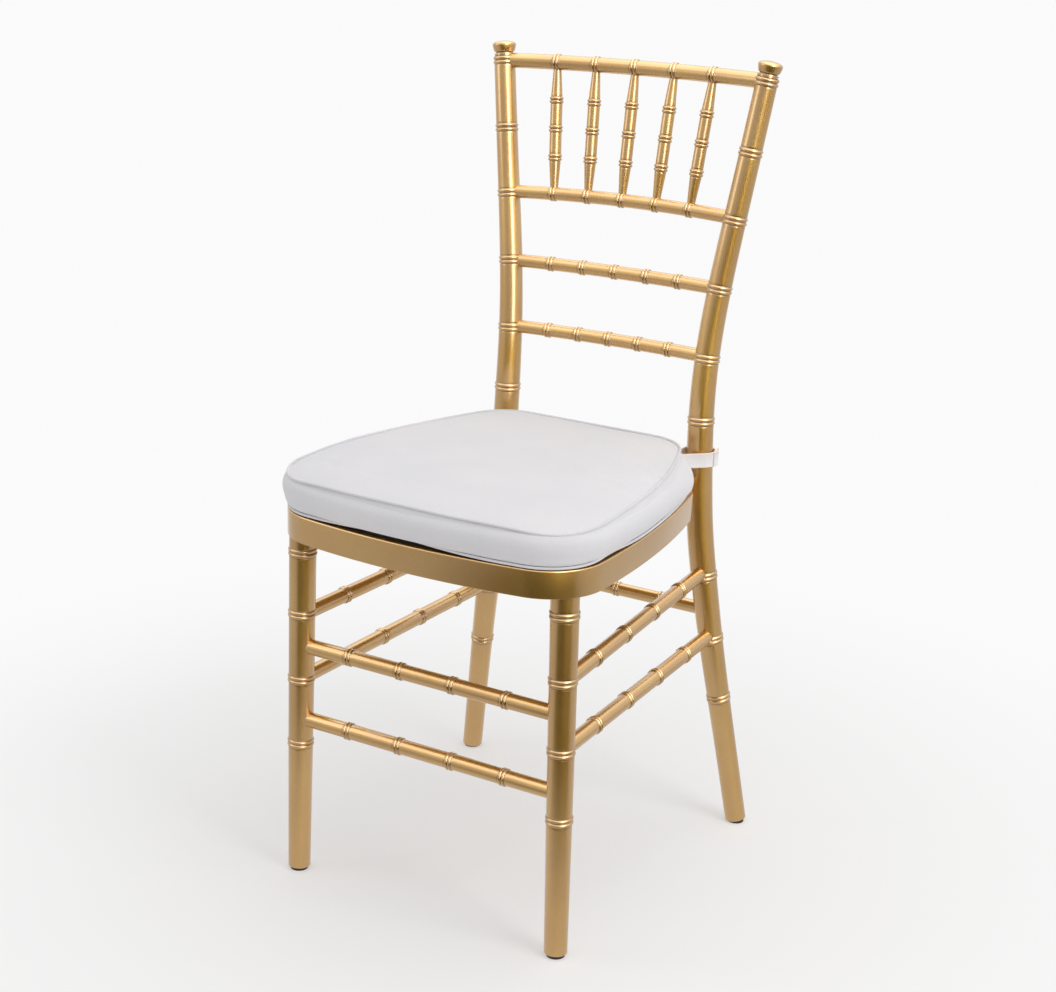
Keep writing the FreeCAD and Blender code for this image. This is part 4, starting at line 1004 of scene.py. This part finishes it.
def buildWorld():
    world = bpy.data.worlds.new("studio")
    bpy.context.scene.world = world
    world.use_nodes = True
    tree = world.node_tree
    tree.nodes.clear()
    output = tree.nodes.new("ShaderNodeOutputWorld")
    ray = addNode(tree, "ShaderNodeLightPath")
    direction = addNode(tree, "ShaderNodeTexCoord").outputs["Generated"]
    gloss = rampNode(tree, towards(tree, direction, studio["airDark"]), studio["air"]).outputs[0]
    # a tall narrow soft box stands to the right and draws a pale line down each post
    parts = addNode(tree, "ShaderNodeSeparateXYZ", i0=direction)
    level = addNode(tree, "ShaderNodeCombineXYZ", X=parts.outputs[0], Y=parts.outputs[1])
    level = addNode(tree, "ShaderNodeVectorMath", {"operation": "NORMALIZE"},
                    i0=level.outputs[0])
    box = stepped(tree, towards(tree, level.outputs[0], studio["boxWay"]), 0.984, 0.996,
                  studio["boxGain"])
    top = stepped(tree, parts.outputs[2], 0.8, 0.55, 1.0)
    box = addNode(tree, "ShaderNodeMath", {"operation": "MULTIPLY"}, i0=box, i1=top).outputs[0]
    # and a broad one hangs overhead, which lights the finials and the tops of the rails
    over = stepped(tree, parts.outputs[2], 0.4, 0.8, studio["overhead"])
    gloss = added(tree, added(tree, gloss, box), over)
    white = (1, 1, 1, 1)
    light = addNode(tree, "ShaderNodeBackground", Color=white, Strength=studio["sky"])
    back = addNode(tree, "ShaderNodeBackground", Color=white, Strength=studio["backdrop"])
    shine = addNode(tree, "ShaderNodeBackground", Color=white, Strength=gloss)
    first = addNode(tree, "ShaderNodeMixShader", i0=ray.outputs["Is Camera Ray"],
                    i1=light.outputs[0], i2=back.outputs[0])
    second = addNode(tree, "ShaderNodeMixShader", i0=ray.outputs["Is Glossy Ray"],
                     i1=first.outputs[0], i2=shine.outputs[0])
    tree.links.new(second.outputs[0], output.inputs[0])


def buildLamps():
    for name, place, aim, size, power in (
            ("keyLamp", (2.2, -0.4, 2.2), (0, 0, 0.5), 1.2, 26.0),
            ("fillLamp", (-2.0, -1.6, 1.4), (0, 0, 0.4), 1.2, 7.0),
            ("topLamp", (0.3, 0.2, 2.8), (0, 0, 0.4), 1.6, 11.0)):
        data = bpy.data.lights.new(name, "AREA")
        data.shape, data.size, data.energy = "SQUARE", size, power
        lamp = bpy.data.objects.new(name, data)
        lamp.location = place
        lamp.rotation_euler = (Vector(aim) - Vector(place)).to_track_quat("-Z", "Y").to_euler()
        bpy.context.scene.collection.objects.link(lamp)


def buildCamera():
    view = {"place": (1.0625, -1.9239 + 0.1559, 1.0721), "azimuth": 30.73, "elevation": 17.14,
            "roll": 1.97, "lens": 65.76}
    a, e, r = (math.radians(view[k]) for k in ("azimuth", "elevation", "roll"))
    forward = Vector((-math.sin(a) * math.cos(e), math.cos(a) * math.cos(e), -math.sin(e)))
    right = Vector((math.cos(a), math.sin(a), 0))
    up = right.cross(forward)
    turnedRight = right * math.cos(r) + up * math.sin(r)
    turnedUp = up * math.cos(r) - right * math.sin(r)
    data = bpy.data.cameras.new("camera")
    data.lens, data.sensor_width, data.sensor_fit = view["lens"], 36.0, "HORIZONTAL"
    camera = bpy.data.objects.new("camera", data)
    spin = Matrix((turnedRight, turnedUp, -forward)).transposed().to_4x4()
    camera.matrix_world = Matrix.Translation(view["place"]) @ spin
    bpy.context.scene.collection.objects.link(camera)
    bpy.context.scene.camera = camera


buildFloor()
buildWorld()
buildLamps()
buildCamera()
bpy.context.scene.view_settings.view_transform = "Standard"
print("studio ready")
